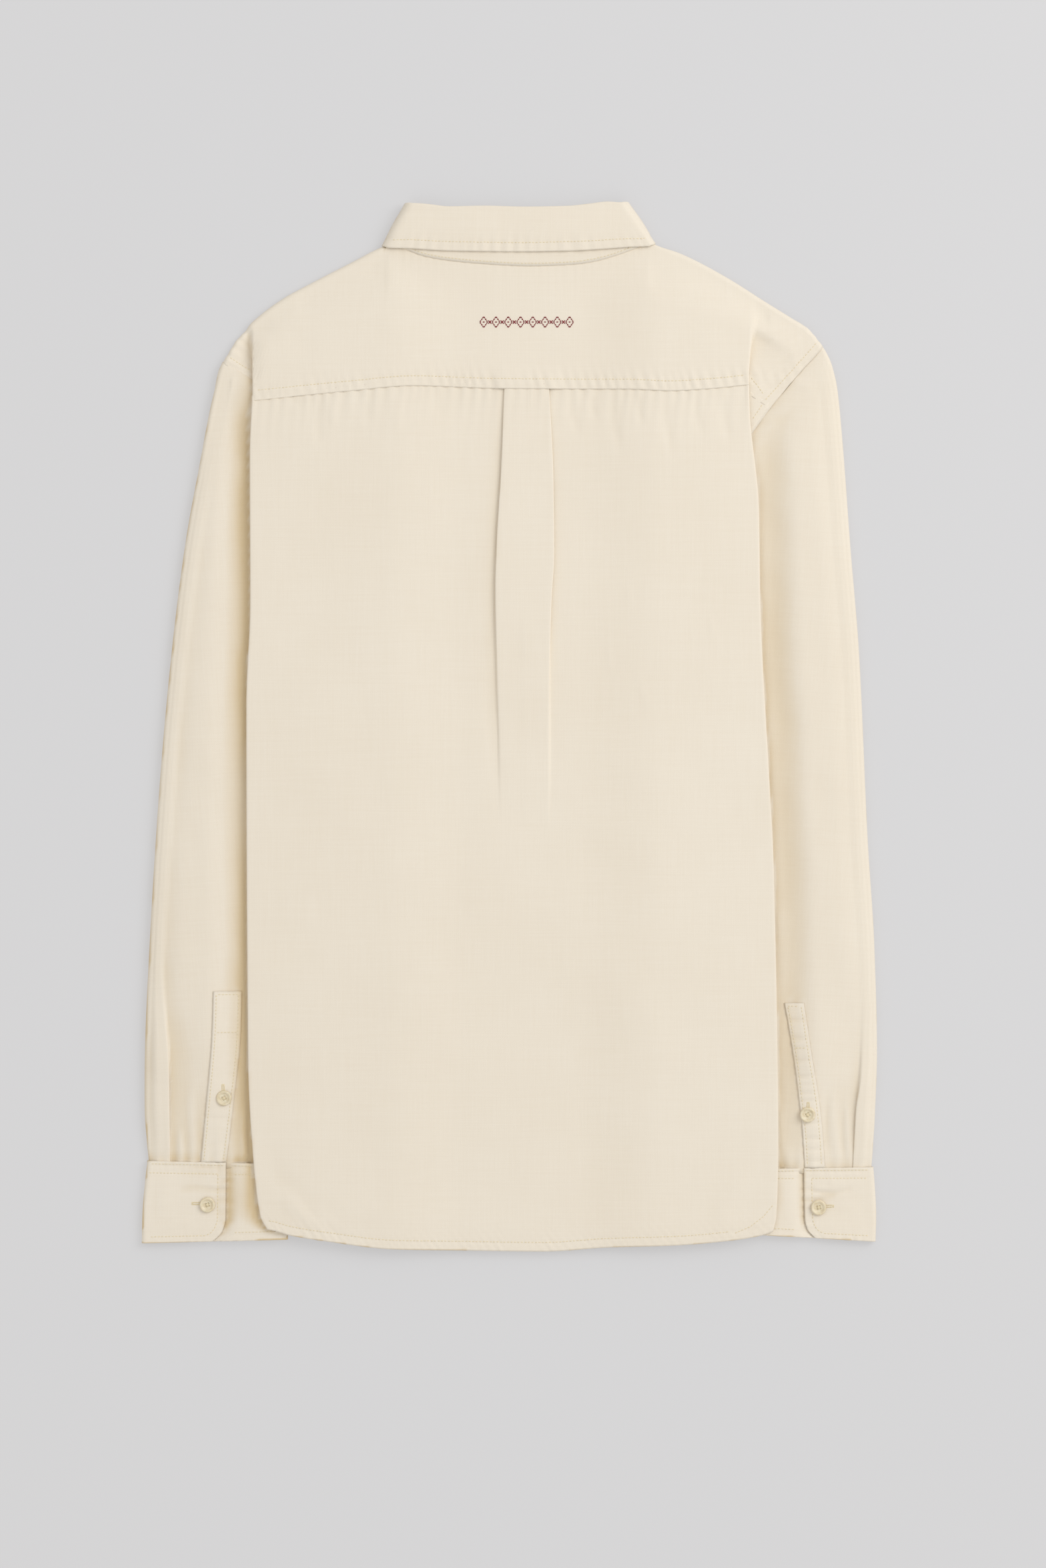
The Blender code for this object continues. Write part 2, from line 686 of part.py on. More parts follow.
# Columns of a front beside its centre edge, out from the shirt's centre. The left one starts
# beside the placket, and the right one goes on below it.
FRONT_COLUMNS = {
    LEFT: [FRONT_PLACKET_WIDTH / 2 + SEAM_GAP, 20, 26, 33, 50, 66, 90],
    RIGHT: [2 - FRONT_PLACKET_WIDTH / 2, 14, 23, 33, 50, 66, 90],
}


def front_half(side, share):
    """Points of a front, from its centre edge out to the armhole or side seam."""
    share = even_share(side, FRONT_CORNERS[side], FRONT_NODE_SHARES, share)
    centre = side * SHIRT_CENTRE
    fold_start = FRONT_FOLDS[side][0].out
    top_tip = float(front_seam(side, fold_start)) - SEAM_GAP
    hem_tip = float(read(HEM, "y", side * 200)) + FRONT_HEM_SHORTER
    tip_height = mix(top_tip, hem_tip, share)
    corner = FRONT_CORNERS[side] - SEAM_GAP
    edge_height = mix(corner, SIDE_SEAM_HEM, share)
    fold, tip, edge = side_fold(FRONT_FOLDS[side], side, tip_height, edge_height)
    body_out = np.array([*(centre + np.array(FRONT_COLUMNS[side])), mix(centre + 90, tip, 0.5)])
    fold_out = fold[:, 0] + tip
    flap_out = np.linspace(fold_out[-1], edge, 4)[1:]
    out = np.concatenate([body_out, fold_out, flap_out])
    from_centre = out - centre
    neck = np.interp(from_centre, [row.x for row in NECK_FRONT], [row.y for row in NECK_FRONT])
    start = np.where(from_centre < NECK_FRONT[-1].x, neck, front_seam(side, out)) - SEAM_GAP
    end = read(HEM, "y", side * out) + FRONT_HEM_SHORTER
    turned = len(body_out) + ARC_STEPS + 1
    flat = knife_fold(0, LEAST_DEPTH, FOLD_RADIUS)[:, 0] + fold_start
    start[len(body_out) : -3] = front_seam(side, flat) - SEAM_GAP
    corner_out = float(armhole_out(side, FRONT_CORNERS[side]))
    end[turned:] = SIDE_SEAM_HEM - 2
    start[-3:] = front_seam(side, mix(flat[-1], corner_out, np.array([1, 2, 3]) / 3)) - SEAM_GAP
    end[-1] = SIDE_SEAM_HEM
    height = mix(start, end, share)
    count = len(body_out)
    body_level = front_level(side, from_centre[:count], side * body_out, height[:count])
    fold_level = FRONT_LEVEL - fold[:, 1]
    lip = mix(
        float(lower_level(side, edge, edge_height)),
        SEAM_LEVELS["front"],
        float(underarm_share(edge_height)),
    )
    level = np.concatenate([body_level, fold_level, flap_levels(fold_level, 3, lip)])
    return out, height, level


FRONT_SHARES = sorted(FRONT_NODE_SHARES + [0.015, 0.06, 0.14, 0.225, 0.305, 0.45, 0.65, 0.85, 0.96])


def make_front(side, collection):
    grid = []
    for share in FRONT_SHARES:
        out, height, level = front_half(side, share)
        grid.append(np.column_stack([side * out, height, level]))
    return shell(f"front_{SIDE_NAMES[side]}", grid, WALL, BODY_LOOK, collection)


def make_front_placket(collection):
    top = NECK_FRONT[0].y - SEAM_GAP
    bottom = float(read(HEM, "y", SHIRT_CENTRE)) + FRONT_HEM_SHORTER
    half = FRONT_PLACKET_WIDTH / 2
    grid = [
        np.array([[SHIRT_CENTRE + x, y, PLACKET_LEVEL] for x in (-half, 0, half)])
        for y in np.linspace(top, bottom, 5)
    ]
    return shell("front_placket", grid, WALL, TRIM_LOOK, collection)


SLEEVE_SHARES = [0, 0.03, 0.07, 0.14, 0.26, 0.4, 0.56, 0.68, 0.78, 0.86, 0.93, 1]
OUTER_POINTS = 3
ARMHOLE_GAP = 0.5


def sleeve_ends(side, share):
    """Inner point, start of the outer fold and its direction, for a sleeve's row."""
    inner_top = np.array([ARMHOLES[side][-1].out + ARMHOLE_GAP, UNDERARM])
    inner_end = np.array([CUFF_INNER, CUFF_EDGES[side]["top"][0] + SEAM_GAP])
    outline = SLEEVE_OUTLINES[side]
    outer_height = mix(outline[0].height, CUFF_EDGES[side]["top"][1] + SEAM_GAP, share)
    radius = (UPPER_SLEEVE_LEVEL - FRONT_LEVEL) / 2
    outer = np.array([float(read(outline, "out", outer_height)) - WALL / 2 - radius, outer_height])
    at_shoulder = float(smooth(0.02, 0, share))
    shoulder = np.array([ARMHOLES[side][0].out + ARMHOLE_GAP, ARMHOLES[side][0].height])
    direction = mix(np.array([1.0, 0.0]), np.array(SHOULDER_NORMALS[side]), at_shoulder)
    return mix(inner_top, inner_end, share), mix(outer, shoulder, at_shoulder), direction


def sleeve_line(side, share):
    """Points of one layer of a sleeve's row, bowed to the armhole at its top."""
    inner, outer, direction = sleeve_ends(side, share)
    rows = ARMHOLES[side][::-1]
    seam = np.array([[row.out + ARMHOLE_GAP, row.height] for row in rows])
    shares_across = (seam[:, 1] - UNDERARM) / (seam[-1, 1] - UNDERARM)
    straight = mix(seam[0], seam[-1], shares_across[:, None])
    bow = (1 - share) ** 3
    line = mix(inner, outer, shares_across[:, None]) + bow * (seam - straight)
    return line, direction


def sleeve_row(side, share):
    """One ring of a sleeve: along the lower layer, round the outer fold, back on the upper."""
    line, direction = sleeve_line(side, share)
    low = lower_level(side, line[:, 0], line[:, 1])
    low[0] = SEAM_LEVELS["front"]
    high = float(upper_level(side, line[-1, 0], line[-1, 1]))
    outer = line[-1]
    middle = (low[-1] + high) / 2
    radius = (high - low[-1]) / 2
    angles = np.linspace(-90, 90, OUTER_POINTS + 2)[1:-1]
    ring = [np.column_stack([line, low])]
    for angle in np.radians(angles):
        place = outer + direction * radius * math.cos(angle)
        ring.append(np.array([[*place, middle + radius * math.sin(angle)]]))
    ring.append(upper_row(side, share, line))
    ring = np.vstack(ring)
    ring[:, 0] *= side
    return ring


def upper_row(side, share, line):
    """The upper layer from the outer fold inwards, with the pleat that ends at the cuff."""
    pleats = SLEEVE_PLEATS[side]
    tip_height = line[-1, 1]
    turn = float(read(pleats, "turn", tip_height))
    turned = float(smooth(168, 180, turn))
    depth = mix(LEAST_DEPTH, float(read(pleats, "depth", tip_height)), turned)
    fold = knife_fold(turn, depth, SLEEVE_PLEAT_RADIUS)
    tip = min(float(read(pleats, "out", tip_height)), line[-1, 0] - 6)
    fold_out = tip - fold[:, 0]
    even = np.linspace(fold_out[-1], line[0, 0], len(line))[1:]
    inner_out = mix(line[-2::-1, 0], even, float(smooth(0, 0.3, share)))
    out = np.array([line[-1, 0], *fold_out, *inner_out])
    height = np.interp(out, line[:, 0], line[:, 1])
    level = upper_level(side, out, height)
    last = len(fold_out)
    level[1 : last + 1] = level[last] + fold[:, 1] - fold[-1, 1]
    level[-1] = SEAM_LEVELS["back"]
    return np.column_stack([out, height, level])


def make_sleeve(side, collection):
    grid = [sleeve_row(side, share) for share in SLEEVE_SHARES]
    return shell(f"sleeve_{SIDE_NAMES[side]}", grid, WALL, SLEEVE_LOOK, collection)


def cuff_row(side, share):
    """One section of a cuff: overlap, outer fold, bottom, inner fold and underlap."""
    edges = CUFF_EDGES[side]
    height_at_outer = mix(edges["top"][1], edges["bottom"][1], share)
    outer = float(read(CUFF_OUTLINES[side], "out", height_at_outer)) - STIFF_WALL / 2
    end = float(read(OVERLAPS, SIDE_NAMES[side], share))
    radius = (CUFF_LEVELS["overlap"] - CUFF_LEVELS["bottom"]) / 2
    inner_radius = (TURNED_CUFF_LEVELS["underlap"] - TURNED_CUFF_LEVELS["bottom"]) / 2
    overlap = [(out, CUFF_LEVELS["overlap"]) for out in np.linspace(end, outer - radius, 4)]
    outer_arc = [
        (outer - radius + radius * math.sin(a), CUFF_LEVELS["bottom"] + radius * (1 + math.cos(a)))
        for a in np.radians([45, 90, 135])
    ]
    under = [outer - radius, end + 8, end - 4, end - 12, CUFF_INNER + inner_radius]
    tucked = [CUFF_INNER + inner_radius, end - 12, end - 4, end + 8, end + UNDERLAP_BELOW]
    lift = 1 - smooth(-12, 6, np.array(under) - end)
    bottom = list(zip(under, mix(CUFF_LEVELS["bottom"], TURNED_CUFF_LEVELS["bottom"], lift)))
    inner_arc = [
        (
            CUFF_INNER + inner_radius - inner_radius * math.sin(a),
            TURNED_CUFF_LEVELS["bottom"] + inner_radius * (1 - math.cos(a)),
        )
        for a in np.radians([60, 120])
    ]
    lift = 1 - smooth(-12, 6, np.array(tucked) - end)
    underlap = list(zip(tucked, mix(CUFF_LEVELS["underlap"], TURNED_CUFF_LEVELS["underlap"], lift)))
    section = np.array(overlap + outer_arc + bottom + inner_arc + underlap)
    across = (section[:, 0] - CUFF_INNER) / (outer - CUFF_INNER)
    heights = mix(mix(*edges["top"], across), mix(*edges["bottom"], across), share)
    return np.column_stack([side * section[:, 0], heights, section[:, 1]])


CUFF_SHARES = [0, 0.35, 0.72, 0.88, 1]


def make_cuff(side, collection):
    grid = [cuff_row(side, share) for share in CUFF_SHARES]
    return shell(f"cuff_{SIDE_NAMES[side]}", grid, STIFF_WALL, TRIM_LOOK, collection)


def strip_level(side, out, height):
    """Middle of a placket strip, which lies on the sleeve's upper layer."""
    return upper_level(side, out, height) + WALL / 2 + STRIP_GAP + STRIP_WALL / 2


def make_sleeve_placket(side, collection):
    rows = SLEEVE_STRIPS[side]
    grid = []
    for height in np.linspace(rows[0].height, rows[-1].height, 8):
        edges = [float(read(rows, name, height)) for name in ("inner", "outer")]
        out = np.linspace(*edges, 4)
        level = strip_level(side, out, height)
        grid.append(np.column_stack([side * out, np.full(4, height), level]))
    name = f"sleeve_placket_{SIDE_NAMES[side]}"
    return shell(name, grid, STRIP_WALL, TRIM_LOOK, collection)


def collar_section(neck, fold, edge, face):
    """A collar section: its three points, the way up the stand, and the way it faces."""
    up = fold - neck
    return neck, fold, edge, up / np.linalg.norm(up), face / np.linalg.norm(face)


def collar_front_sections(side):
    """Sections on the floor side, from the front centre out to the side."""
    levels = COLLAR_FRONT_LEVELS
    down = np.array([0, 0, -1.0])
    sections = []
    for row in COLLAR_FRONT:
        neck = np.array([SHIRT_CENTRE + side * row.neck, row.neck_y + SEAM_GAP, levels.neck])
        fold = np.array([SHIRT_CENTRE + side * row.fold, row.fold_y, levels.fold])
        edge = np.array([SHIRT_CENTRE + side * row.edge, row.edge_y, levels.edge])
        sections.append(collar_section(neck, fold, edge, down))
    return sections


def collar_turn_sections(side):
    """Sections round the side of the collar, from the floor side up to the back."""
    row = COLLAR_TURNS[side]
    up = np.array([row.fold_x - row.neck_x, row.fold_y - row.neck_y])
    up /= np.linalg.norm(up)
    outward = side * np.array([up[1], -up[0], 0])
    plan = [(row.neck_x, row.neck_y), (row.fold_x, row.fold_y), (row.edge_x, row.edge_y)]
    sections = []
    for angle in np.radians([-90] + COLLAR_TURN_ANGLES + [90]):
        points = []
        for place, low, high in zip(plan, COLLAR_FRONT_LEVELS, COLLAR_BACK_LEVELS):
            radius = (high - low) / 2
            level = low + radius * (1 + math.sin(angle))
            points.append(np.array([*place, level]) + outward * radius * math.cos(angle))
        face = outward * math.cos(angle) + np.array([0, 0, math.sin(angle)])
        sections.append(collar_section(*points, face))
    return sections


def collar_sections():
    """All sections of the collar, from its left front end over the back to the right one."""
    levels = COLLAR_BACK_LEVELS
    back = []
    for row in COLLAR_BACK:
        neck = np.array([row.neck_x, row.neck_y, levels.neck])
        fold = np.array([row.fold_x, row.fold_y, levels.fold])
        edge = np.array([row.edge_x, row.edge_y, levels.edge])
        back.append(collar_section(neck, fold, edge, np.array([0, 0, 1.0])))
    left = collar_front_sections(LEFT) + collar_turn_sections(LEFT)
    right = collar_front_sections(RIGHT) + collar_turn_sections(RIGHT)
    return left + back + right[::-1]


def make_collar_stand(collection):
    """The stand, whose left end lies below its right end at the front centre."""
    lift = np.array([0, 0, STIFF_WALL + SEAM_GAP + 0.2])
    grid = []
    for neck, fold, _, up, _ in collar_sections():
        grid.append(np.array([mix(neck, fold - up * STAND_SHORTER, share) for share in (0, 0.5, 1)]))
    grid[-1] = grid[-1] + lift
    along = np.array([STAND_OVERLAP, 0, 0])
    grid = [grid[0] + along] + grid + [grid[-1] - along]
    return shell("collar_stand", grid, STIFF_WALL, TRIM_LOOK, collection)


def make_collar_leaf(collection):
    """The leaf: a roll over the stand's upper edge, then a flat part down to the points."""
    grid = []
    for _, fold, edge, up, face in collar_sections():
        centre = fold + face * LEAF_ROLL
        row = []
        for angle in np.radians([-45, 0, 45, 90]):
            row.append(centre + LEAF_ROLL * (face * math.sin(angle) + up * math.cos(angle)))
        start = row[-1]
        for share in (0.35, 0.7, 1):
            row.append(mix(start, edge, share))
        grid.append(np.array(row))
    grid[0] = grid[0] - np.array([SEAM_GAP, 0, 0])
    grid[-1] = grid[-1] + np.array([SEAM_GAP, 0, 0])
    return shell("collar_leaf", grid, STIFF_WALL, TRIM_LOOK, collection)


def make_button(name, place, faces_down, collection):
    """A turned button. Its flat back lies at the given place, on either face."""
    mesh = bpy.data.meshes.new(name)
    points = [(radius * MM, 0, height * MM) for radius, height in BUTTON_PROFILE]
    mesh.from_pydata(points, [(i, i + 1) for i in range(len(points) - 1)], [])
    mesh.materials.append(make_material(name, BUTTON_LOOK))
    obj = bpy.data.objects.new(name, mesh)
    obj.location = np.array(place) * MM
    if faces_down:
        obj.rotation_euler = (math.pi, 0, 0)
    collection.objects.link(obj)
    turned = obj.modifiers.new("Turned", "SCREW")
    turned.steps = BUTTON_STEPS
    turned.render_steps = BUTTON_STEPS
    turned.use_merge_vertices = True
    turned.merge_threshold = 0.00001
    turned.use_smooth_shade = False
    return obj


def make_buttons(collection):
    for side in (LEFT, RIGHT):
        out, height = CUFF_BUTTONS[side]
        level = CUFF_LEVELS["overlap"] + STIFF_WALL / 2 + SEAM_GAP
        make_button(f"cuff_button_{SIDE_NAMES[side]}", (side * out, height, level), False, collection)
        out, height = PLACKET_BUTTONS[side]
        level = float(strip_level(side, out, height)) + STRIP_WALL / 2 + SEAM_GAP
        make_button(f"placket_button_{SIDE_NAMES[side]}", (side * out, height, level), False, collection)
    level = PLACKET_LEVEL - WALL / 2 - SEAM_GAP
    for number, height in enumerate(FRONT_BUTTON_HEIGHTS, 1):
        make_button(f"front_button_{number}", (SHIRT_CENTRE, height, level), True, collection)
    level = COLLAR_FRONT_LEVELS.neck - STIFF_WALL / 2 - SEAM_GAP
    make_button("collar_button", (SHIRT_CENTRE, COLLAR_BUTTON_HEIGHT, level), True, collection)


def main():
    clear_scene()
    collection = make_collection()
    make_back(collection)
    make_yoke(collection)
    for side in (LEFT, RIGHT):
        make_front(side, collection)
        make_sleeve(side, collection)
        make_cuff(side, collection)
        make_sleeve_placket(side, collection)
    make_front_placket(collection)
    make_collar_stand(collection)
    make_collar_leaf(collection)
    make_buttons(collection)


main()
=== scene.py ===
import math

import bpy
import numpy as np
from mathutils.bvhtree import BVHTree
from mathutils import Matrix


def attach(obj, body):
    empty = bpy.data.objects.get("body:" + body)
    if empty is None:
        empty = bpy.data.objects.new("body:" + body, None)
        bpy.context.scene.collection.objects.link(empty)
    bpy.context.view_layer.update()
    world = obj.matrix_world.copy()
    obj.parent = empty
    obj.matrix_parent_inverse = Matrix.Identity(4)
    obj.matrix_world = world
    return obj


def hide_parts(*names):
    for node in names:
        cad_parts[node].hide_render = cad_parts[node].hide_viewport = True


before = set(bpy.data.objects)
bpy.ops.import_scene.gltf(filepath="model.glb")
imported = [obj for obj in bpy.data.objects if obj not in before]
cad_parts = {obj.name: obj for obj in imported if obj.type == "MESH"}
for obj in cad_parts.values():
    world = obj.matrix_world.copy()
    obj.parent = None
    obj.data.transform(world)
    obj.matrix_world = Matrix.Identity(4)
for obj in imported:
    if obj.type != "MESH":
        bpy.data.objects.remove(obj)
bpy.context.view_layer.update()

# Sizes are in millimetres until a mesh is made. The shirt lies with its back up, its collar
# towards +Y, and "out" is a distance from the middle of the lay towards either sleeve.
mm = 0.001
left, right = -1, 1
sideNames = {left: "left", right: "right"}

cloth = {
    "wall": 0.6,
    "stiffWall": 0.9,  # collar and cuffs, which are doubled
    "foldRadius": 0.85,
    "pressedRadius": 0.34,  # where a seam holds a fold flat
    "seamDrop": 0.62,  # how far a panel dips to pass below the next one's edge
    "seamUnder": 4.0,  # how far it goes on below that edge
}

# the layers above the floor, at the middle of each wall
levels = {
    "front": 0.35,
    "lowerSleeve": 4.1,
    "upperSleeve": 6.8,
    "back": 10.4,
    "backCentre": 6.6,
    "shoulder": 6.9,
    "seamBack": 6.2,
    "seamFront": 4.75,
    "placket": 3.35,
    "rightFront": 4.75,
    "collarRest": 2.75,
}

shirtCentre = 10.8  # x
underarm = 54.0  # y
sideSeamHem = -335.0  # y of the lower ends of the side seams


def mix(start, end, share):
    return start + (end - start) * share


def smooth(start, end, value):
    share = np.clip((value - start) / (end - start), 0, 1)
    return share * share * (3 - 2 * share)


def curve(keys, values, at):  # passes through the points and turns only where they do
    keys = np.asarray(keys, float)
    values = np.asarray(values, float)
    if keys[0] > keys[-1]:
        keys = keys[::-1]
        values = values[::-1]
    gaps = np.diff(keys)
    slopes = np.diff(values) / gaps
    tangents = np.concatenate([slopes[:1], np.zeros(len(keys) - 2), slopes[-1:]])
    before = slopes[:-1]
    after = slopes[1:]
    same = before * after > 0
    tangents[1:-1][same] = (2 * before * after / np.where(same, before + after, 1))[same]
    at = np.clip(at, keys[0], keys[-1])
    i = np.clip(np.searchsorted(keys, at, side="right") - 1, 0, len(keys) - 2)
    t = (at - keys[i]) / gaps[i]
    return (
        values[i] * (1 + 2 * t) * (1 - t) ** 2
        + tangents[i] * gaps[i] * t * (1 - t) ** 2
        + values[i + 1] * t * t * (3 - 2 * t)
        + tangents[i + 1] * gaps[i] * t * t * (t - 1)
    )


def column(rows, number, at):  # one column of a table, read by its first one
    return curve([row[0] for row in rows], [row[number] for row in rows], at)


def scatter(number, seed):  # an uneven but repeatable value from -1 to 1 for each whole number
    value = np.sin(number * 12.9898 + seed * 78.233) * 43758.5453
    return (value - np.floor(value)) * 2 - 1


def drift(at, pitch, seed):  # smooth uneven waves along a line
    cells = np.asarray(at, float) / pitch
    low = np.floor(cells)
    share = smooth(0, 1, cells - low)
    return mix(scatter(low, seed), scatter(low + 1, seed), share)


def driftOver(x, y, pitch, seed):  # the same over a surface
    cells = np.asarray(y, float) / pitch
    low = np.floor(cells)
    share = smooth(0, 1, cells - low)
    return mix(drift(x, pitch, seed + low * 3.7), drift(x, pitch, seed + (low + 1) * 3.7), share)


def ripple(at, pitch, seed):  # puckers of uneven pitch and height along a seam
    phase = np.asarray(at, float) / pitch + 0.55 * drift(at, pitch * 3.1, seed)
    height = 0.62 + 0.38 * drift(at, pitch * 1.7, seed + 5)
    return np.sin(2 * math.pi * phase) * height


def bell(value, middle, width):  # 1 at the middle, falling away on both sides
    return np.exp(-(((value - middle) / width) ** 2))


def fade(value, full, length):  # 1 as far as full, falling away after it
    return np.exp(-np.maximum(value - full, 0) / length)


def creases(x, y, marks):  # soft troughs and ridges: (x0, y0, x1, y1, width, height)
    total = np.zeros(np.shape(x))
    for x0, y0, x1, y1, width, height in marks:
        length = math.hypot(x1 - x0, y1 - y0)
        alongX, alongY = (x1 - x0) / length, (y1 - y0) / length
        along = (x - x0) * alongX + (y - y0) * alongY
        bend = width * 0.5 * np.sin(along / length * math.pi * 1.3)
        across = (x - x0) * alongY - (y - y0) * alongX - bend
        ends = smooth(0, 0.35, along / length) * smooth(1, 0.65, along / length)
        total = total + height * ends * bell(across, 0, width)
    return total


def spread(*bands):  # shares from several bands, each (start, end, count)
    parts = [np.linspace(start, end, count, endpoint=False) for start, end, count in bands]
    return np.append(np.concatenate(parts), bands[-1][1])


def foldPath(turn, depth, radius, steps=7, straight=3):  # out and rise, over the tip and back
    angle = math.radians(turn)
    step = math.pi * radius / steps
    out = rise = heading = 0.0
    path = [(out, rise)]
    for bend in (1, -1):
        for _ in range(steps):
            middle = heading + bend * angle / steps / 2
            out += step * math.cos(middle)
            rise -= step * math.sin(middle)
            heading += bend * angle / steps
            path.append((out, rise))
        if bend == 1:
            for _ in range(straight):
                out += depth / straight * math.cos(heading)
                rise -= depth / straight * math.sin(heading)
                path.append((out, rise))
    path = np.array(path)
    path[:, 0] -= path[steps // 2, 0]
    return path


def placePiece(name, mesh, material, replaces=None):
    mesh.shade_smooth()
    mesh.materials.append(material)
    piece = bpy.data.objects.new(name, mesh)
    bpy.context.scene.collection.objects.link(piece)
    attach(piece, "root")
    if replaces:
        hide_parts(replaces)
    return piece


def makeSheet(name, grid, wall, material, used=None, replaces=None):
    grid = np.asarray(grid, float)
    rows, cols = grid.shape[:2]
    down = np.gradient(grid, axis=0)
    across = np.gradient(grid, axis=1)
    normal = np.cross(across, -down)
    normal /= np.maximum(np.linalg.norm(normal, axis=2, keepdims=True), 1e-9)
    outer = (grid + normal * wall / 2).reshape(-1, 3)
    inner = (grid - normal * wall / 2).reshape(-1, 3)
    points = np.vstack([outer, inner]) * mm
    count = rows * cols
    index = np.arange(count).reshape(rows, cols)
    quads = np.stack([index[1:, :-1], index[1:, 1:], index[:-1, 1:], index[:-1, :-1]], axis=-1)
    if used is not None:
        quads = quads[used]
    quads = quads.reshape(-1, 4)
    edges = np.vstack([quads[:, [i, (i + 1) % 4]] for i in range(4)])
    keys = edges[:, 0] * count + edges[:, 1]
    rim = edges[~np.isin(edges[:, 1] * count + edges[:, 0], keys)]
    walls = np.column_stack([rim[:, 1], rim[:, 0], rim[:, 0] + count, rim[:, 1] + count])
    faces = np.vstack([quads, quads[:, ::-1] + count, walls])
    kept, faces = np.unique(faces, return_inverse=True)
    faces = faces.reshape(-1, 4)
    points = points[kept]
    mesh = bpy.data.meshes.new(name)
    mesh.vertices.add(len(points))
    mesh.vertices.foreach_set("co", points.astype(np.float32).ravel())
    mesh.loops.add(faces.size)
    mesh.loops.foreach_set("vertex_index", faces.astype(np.int32).ravel())
    mesh.polygons.add(len(faces))
    mesh.polygons.foreach_set("loop_start", np.arange(0, faces.size, 4, dtype=np.int32))
    mesh.update(calc_edges=True)
    mesh.validate()
    return placePiece(name, mesh, material, replaces)


print("helpers ready")

# Finishes

clothLook = {
    "colour": (0.880, 0.805, 0.685),
    "shade": (0.825, 0.735, 0.600),
    "hollow": (0.84, 0.735, 0.545),  # painted shade: what is left of each colour where the cloth lies deep or in a higher layer's shadow
    "warpsPerMetre": 1500,
    "weftsPerMetre": 1250,
    "unevenness": 5.0,  # how far the threads wander, in radians of the weave
    "patchTone": 0.35,
    "slubTone": 0.26,
    "threadTone": 0.22,
    "bumpStrength": 0.35,
    "bumpDepth": 0.00016,
    "roughness": 0.9,
    "sheen": 0.18,
}


def newNodes(name):
    material = bpy.data.materials.new(name)
    material.use_nodes = True
    return material, material.node_tree.nodes, material.node_tree.links


def mathNode(nodes, links, kind, first, second=None):
    node = nodes.new("ShaderNodeMath")
    node.operation = kind
    for number, value in enumerate((first, second)):
        if value is None:
            continue
        if isinstance(value, (int, float)):
            node.inputs[number].default_value = value
        else:
            links.new(value, node.inputs[number])
    return node.outputs[0]


def noiseNode(nodes, links, where, scale, detail):
    node = nodes.new("ShaderNodeTexNoise")
    node.inputs["Scale"].default_value = scale
    node.inputs["Detail"].default_value = detail
    links.new(where, node.inputs["Vector"])
    return node.outputs["Fac"]


def rampNode(nodes, links, value, *ends):  # position and colour of either end
    node = nodes.new("ShaderNodeValToRGB")
    for element, (position, colour) in zip(node.color_ramp.elements, ends):
        element.position = position
        element.color = (*colour, 1)
    links.new(value, node.inputs["Fac"])
    return node.outputs["Color"]


def bumpNode(nodes, links, height, strength, depth):
    node = nodes.new("ShaderNodeBump")
    node.inputs["Strength"].default_value = strength
    node.inputs["Distance"].default_value = depth
    links.new(height, node.inputs["Height"])
    return node.outputs["Normal"]


def oxfordMaterial(name, look, turnDegrees=0.0):
    material, nodes, links = newNodes(name)
    shader = nodes["Principled BSDF"]
    shader.inputs["Roughness"].default_value = look["roughness"]
    shader.inputs["Sheen Weight"].default_value = look["sheen"]
    shader.inputs["Sheen Roughness"].default_value = 0.5
    shader.inputs["Specular IOR Level"].default_value = 0.2
    place = nodes.new("ShaderNodeTexCoord")
    turn = nodes.new("ShaderNodeMapping")
    turn.inputs["Rotation"].default_value = (0, 0, math.radians(turnDegrees))
    links.new(place.outputs["Object"], turn.inputs["Vector"])
    where = turn.outputs["Vector"]

    # warp and weft, crossed like a basket, with the threads a little uneven
    wander = mathNode(nodes, links, "MULTIPLY", noiseNode(nodes, links, where, 260, 2), look["unevenness"])
    apart = nodes.new("ShaderNodeSeparateXYZ")
    links.new(where, apart.inputs["Vector"])
    waves = []
    for axis, count in (("X", look["warpsPerMetre"]), ("Y", look["weftsPerMetre"])):
        phase = mathNode(nodes, links, "MULTIPLY", apart.outputs[axis], count * 2 * math.pi)
        waves.append(mathNode(nodes, links, "SINE", mathNode(nodes, links, "ADD", phase, wander)))
    basket = mathNode(nodes, links, "MULTIPLY", *waves)
    threads = mathNode(nodes, links, "ADD", mathNode(nodes, links, "MULTIPLY", basket, 0.5), 0.5)

    # thicker threads that run a few centimetres along the weft or the warp
    slubs = []
    for stretch in ((22, 900, 300), (900, 26, 300)):
        long = nodes.new("ShaderNodeMapping")
        long.inputs["Scale"].default_value = stretch
        links.new(where, long.inputs["Vector"])
        slubs.append(noiseNode(nodes, links, long.outputs["Vector"], 1, 3))
    slub = mathNode(nodes, links, "ADD", *slubs)

    tone = mathNode(nodes, links, "MULTIPLY", noiseNode(nodes, links, where, 9, 4), look["patchTone"])
    for pattern, amount in ((slub, look["slubTone"]), (threads, look["threadTone"])):
        tone = mathNode(nodes, links, "ADD", tone, mathNode(nodes, links, "MULTIPLY", pattern, amount))
    colour = rampNode(nodes, links, tone, (0.25, look["shade"]), (0.75, look["colour"]))

    # painted shade: deep places and those in a higher layer's shadow are darkened and warmed, standing in for
    # shadow and for light bounced between layers of cream cloth
    paintedShadeNode = nodes.new("ShaderNodeAttribute")
    paintedShadeNode.attribute_name = "hollow"
    paintedShadeMix = nodes.new("ShaderNodeMix")
    paintedShadeMix.data_type = "RGBA"
    paintedShadeMix.blend_type = "MULTIPLY"
    paintedShadeMix.inputs[7].default_value = (*look["hollow"], 1)
    links.new(paintedShadeNode.outputs["Fac"], paintedShadeMix.inputs[0])
    links.new(colour, paintedShadeMix.inputs[6])
    links.new(paintedShadeMix.outputs[2], shader.inputs["Base Color"])

    height = mathNode(nodes, links, "ADD", threads, mathNode(nodes, links, "MULTIPLY", slub, 0.8))
    bump = bumpNode(nodes, links, height, look["bumpStrength"], look["bumpDepth"])
    links.new(bump, shader.inputs["Normal"])
    return material


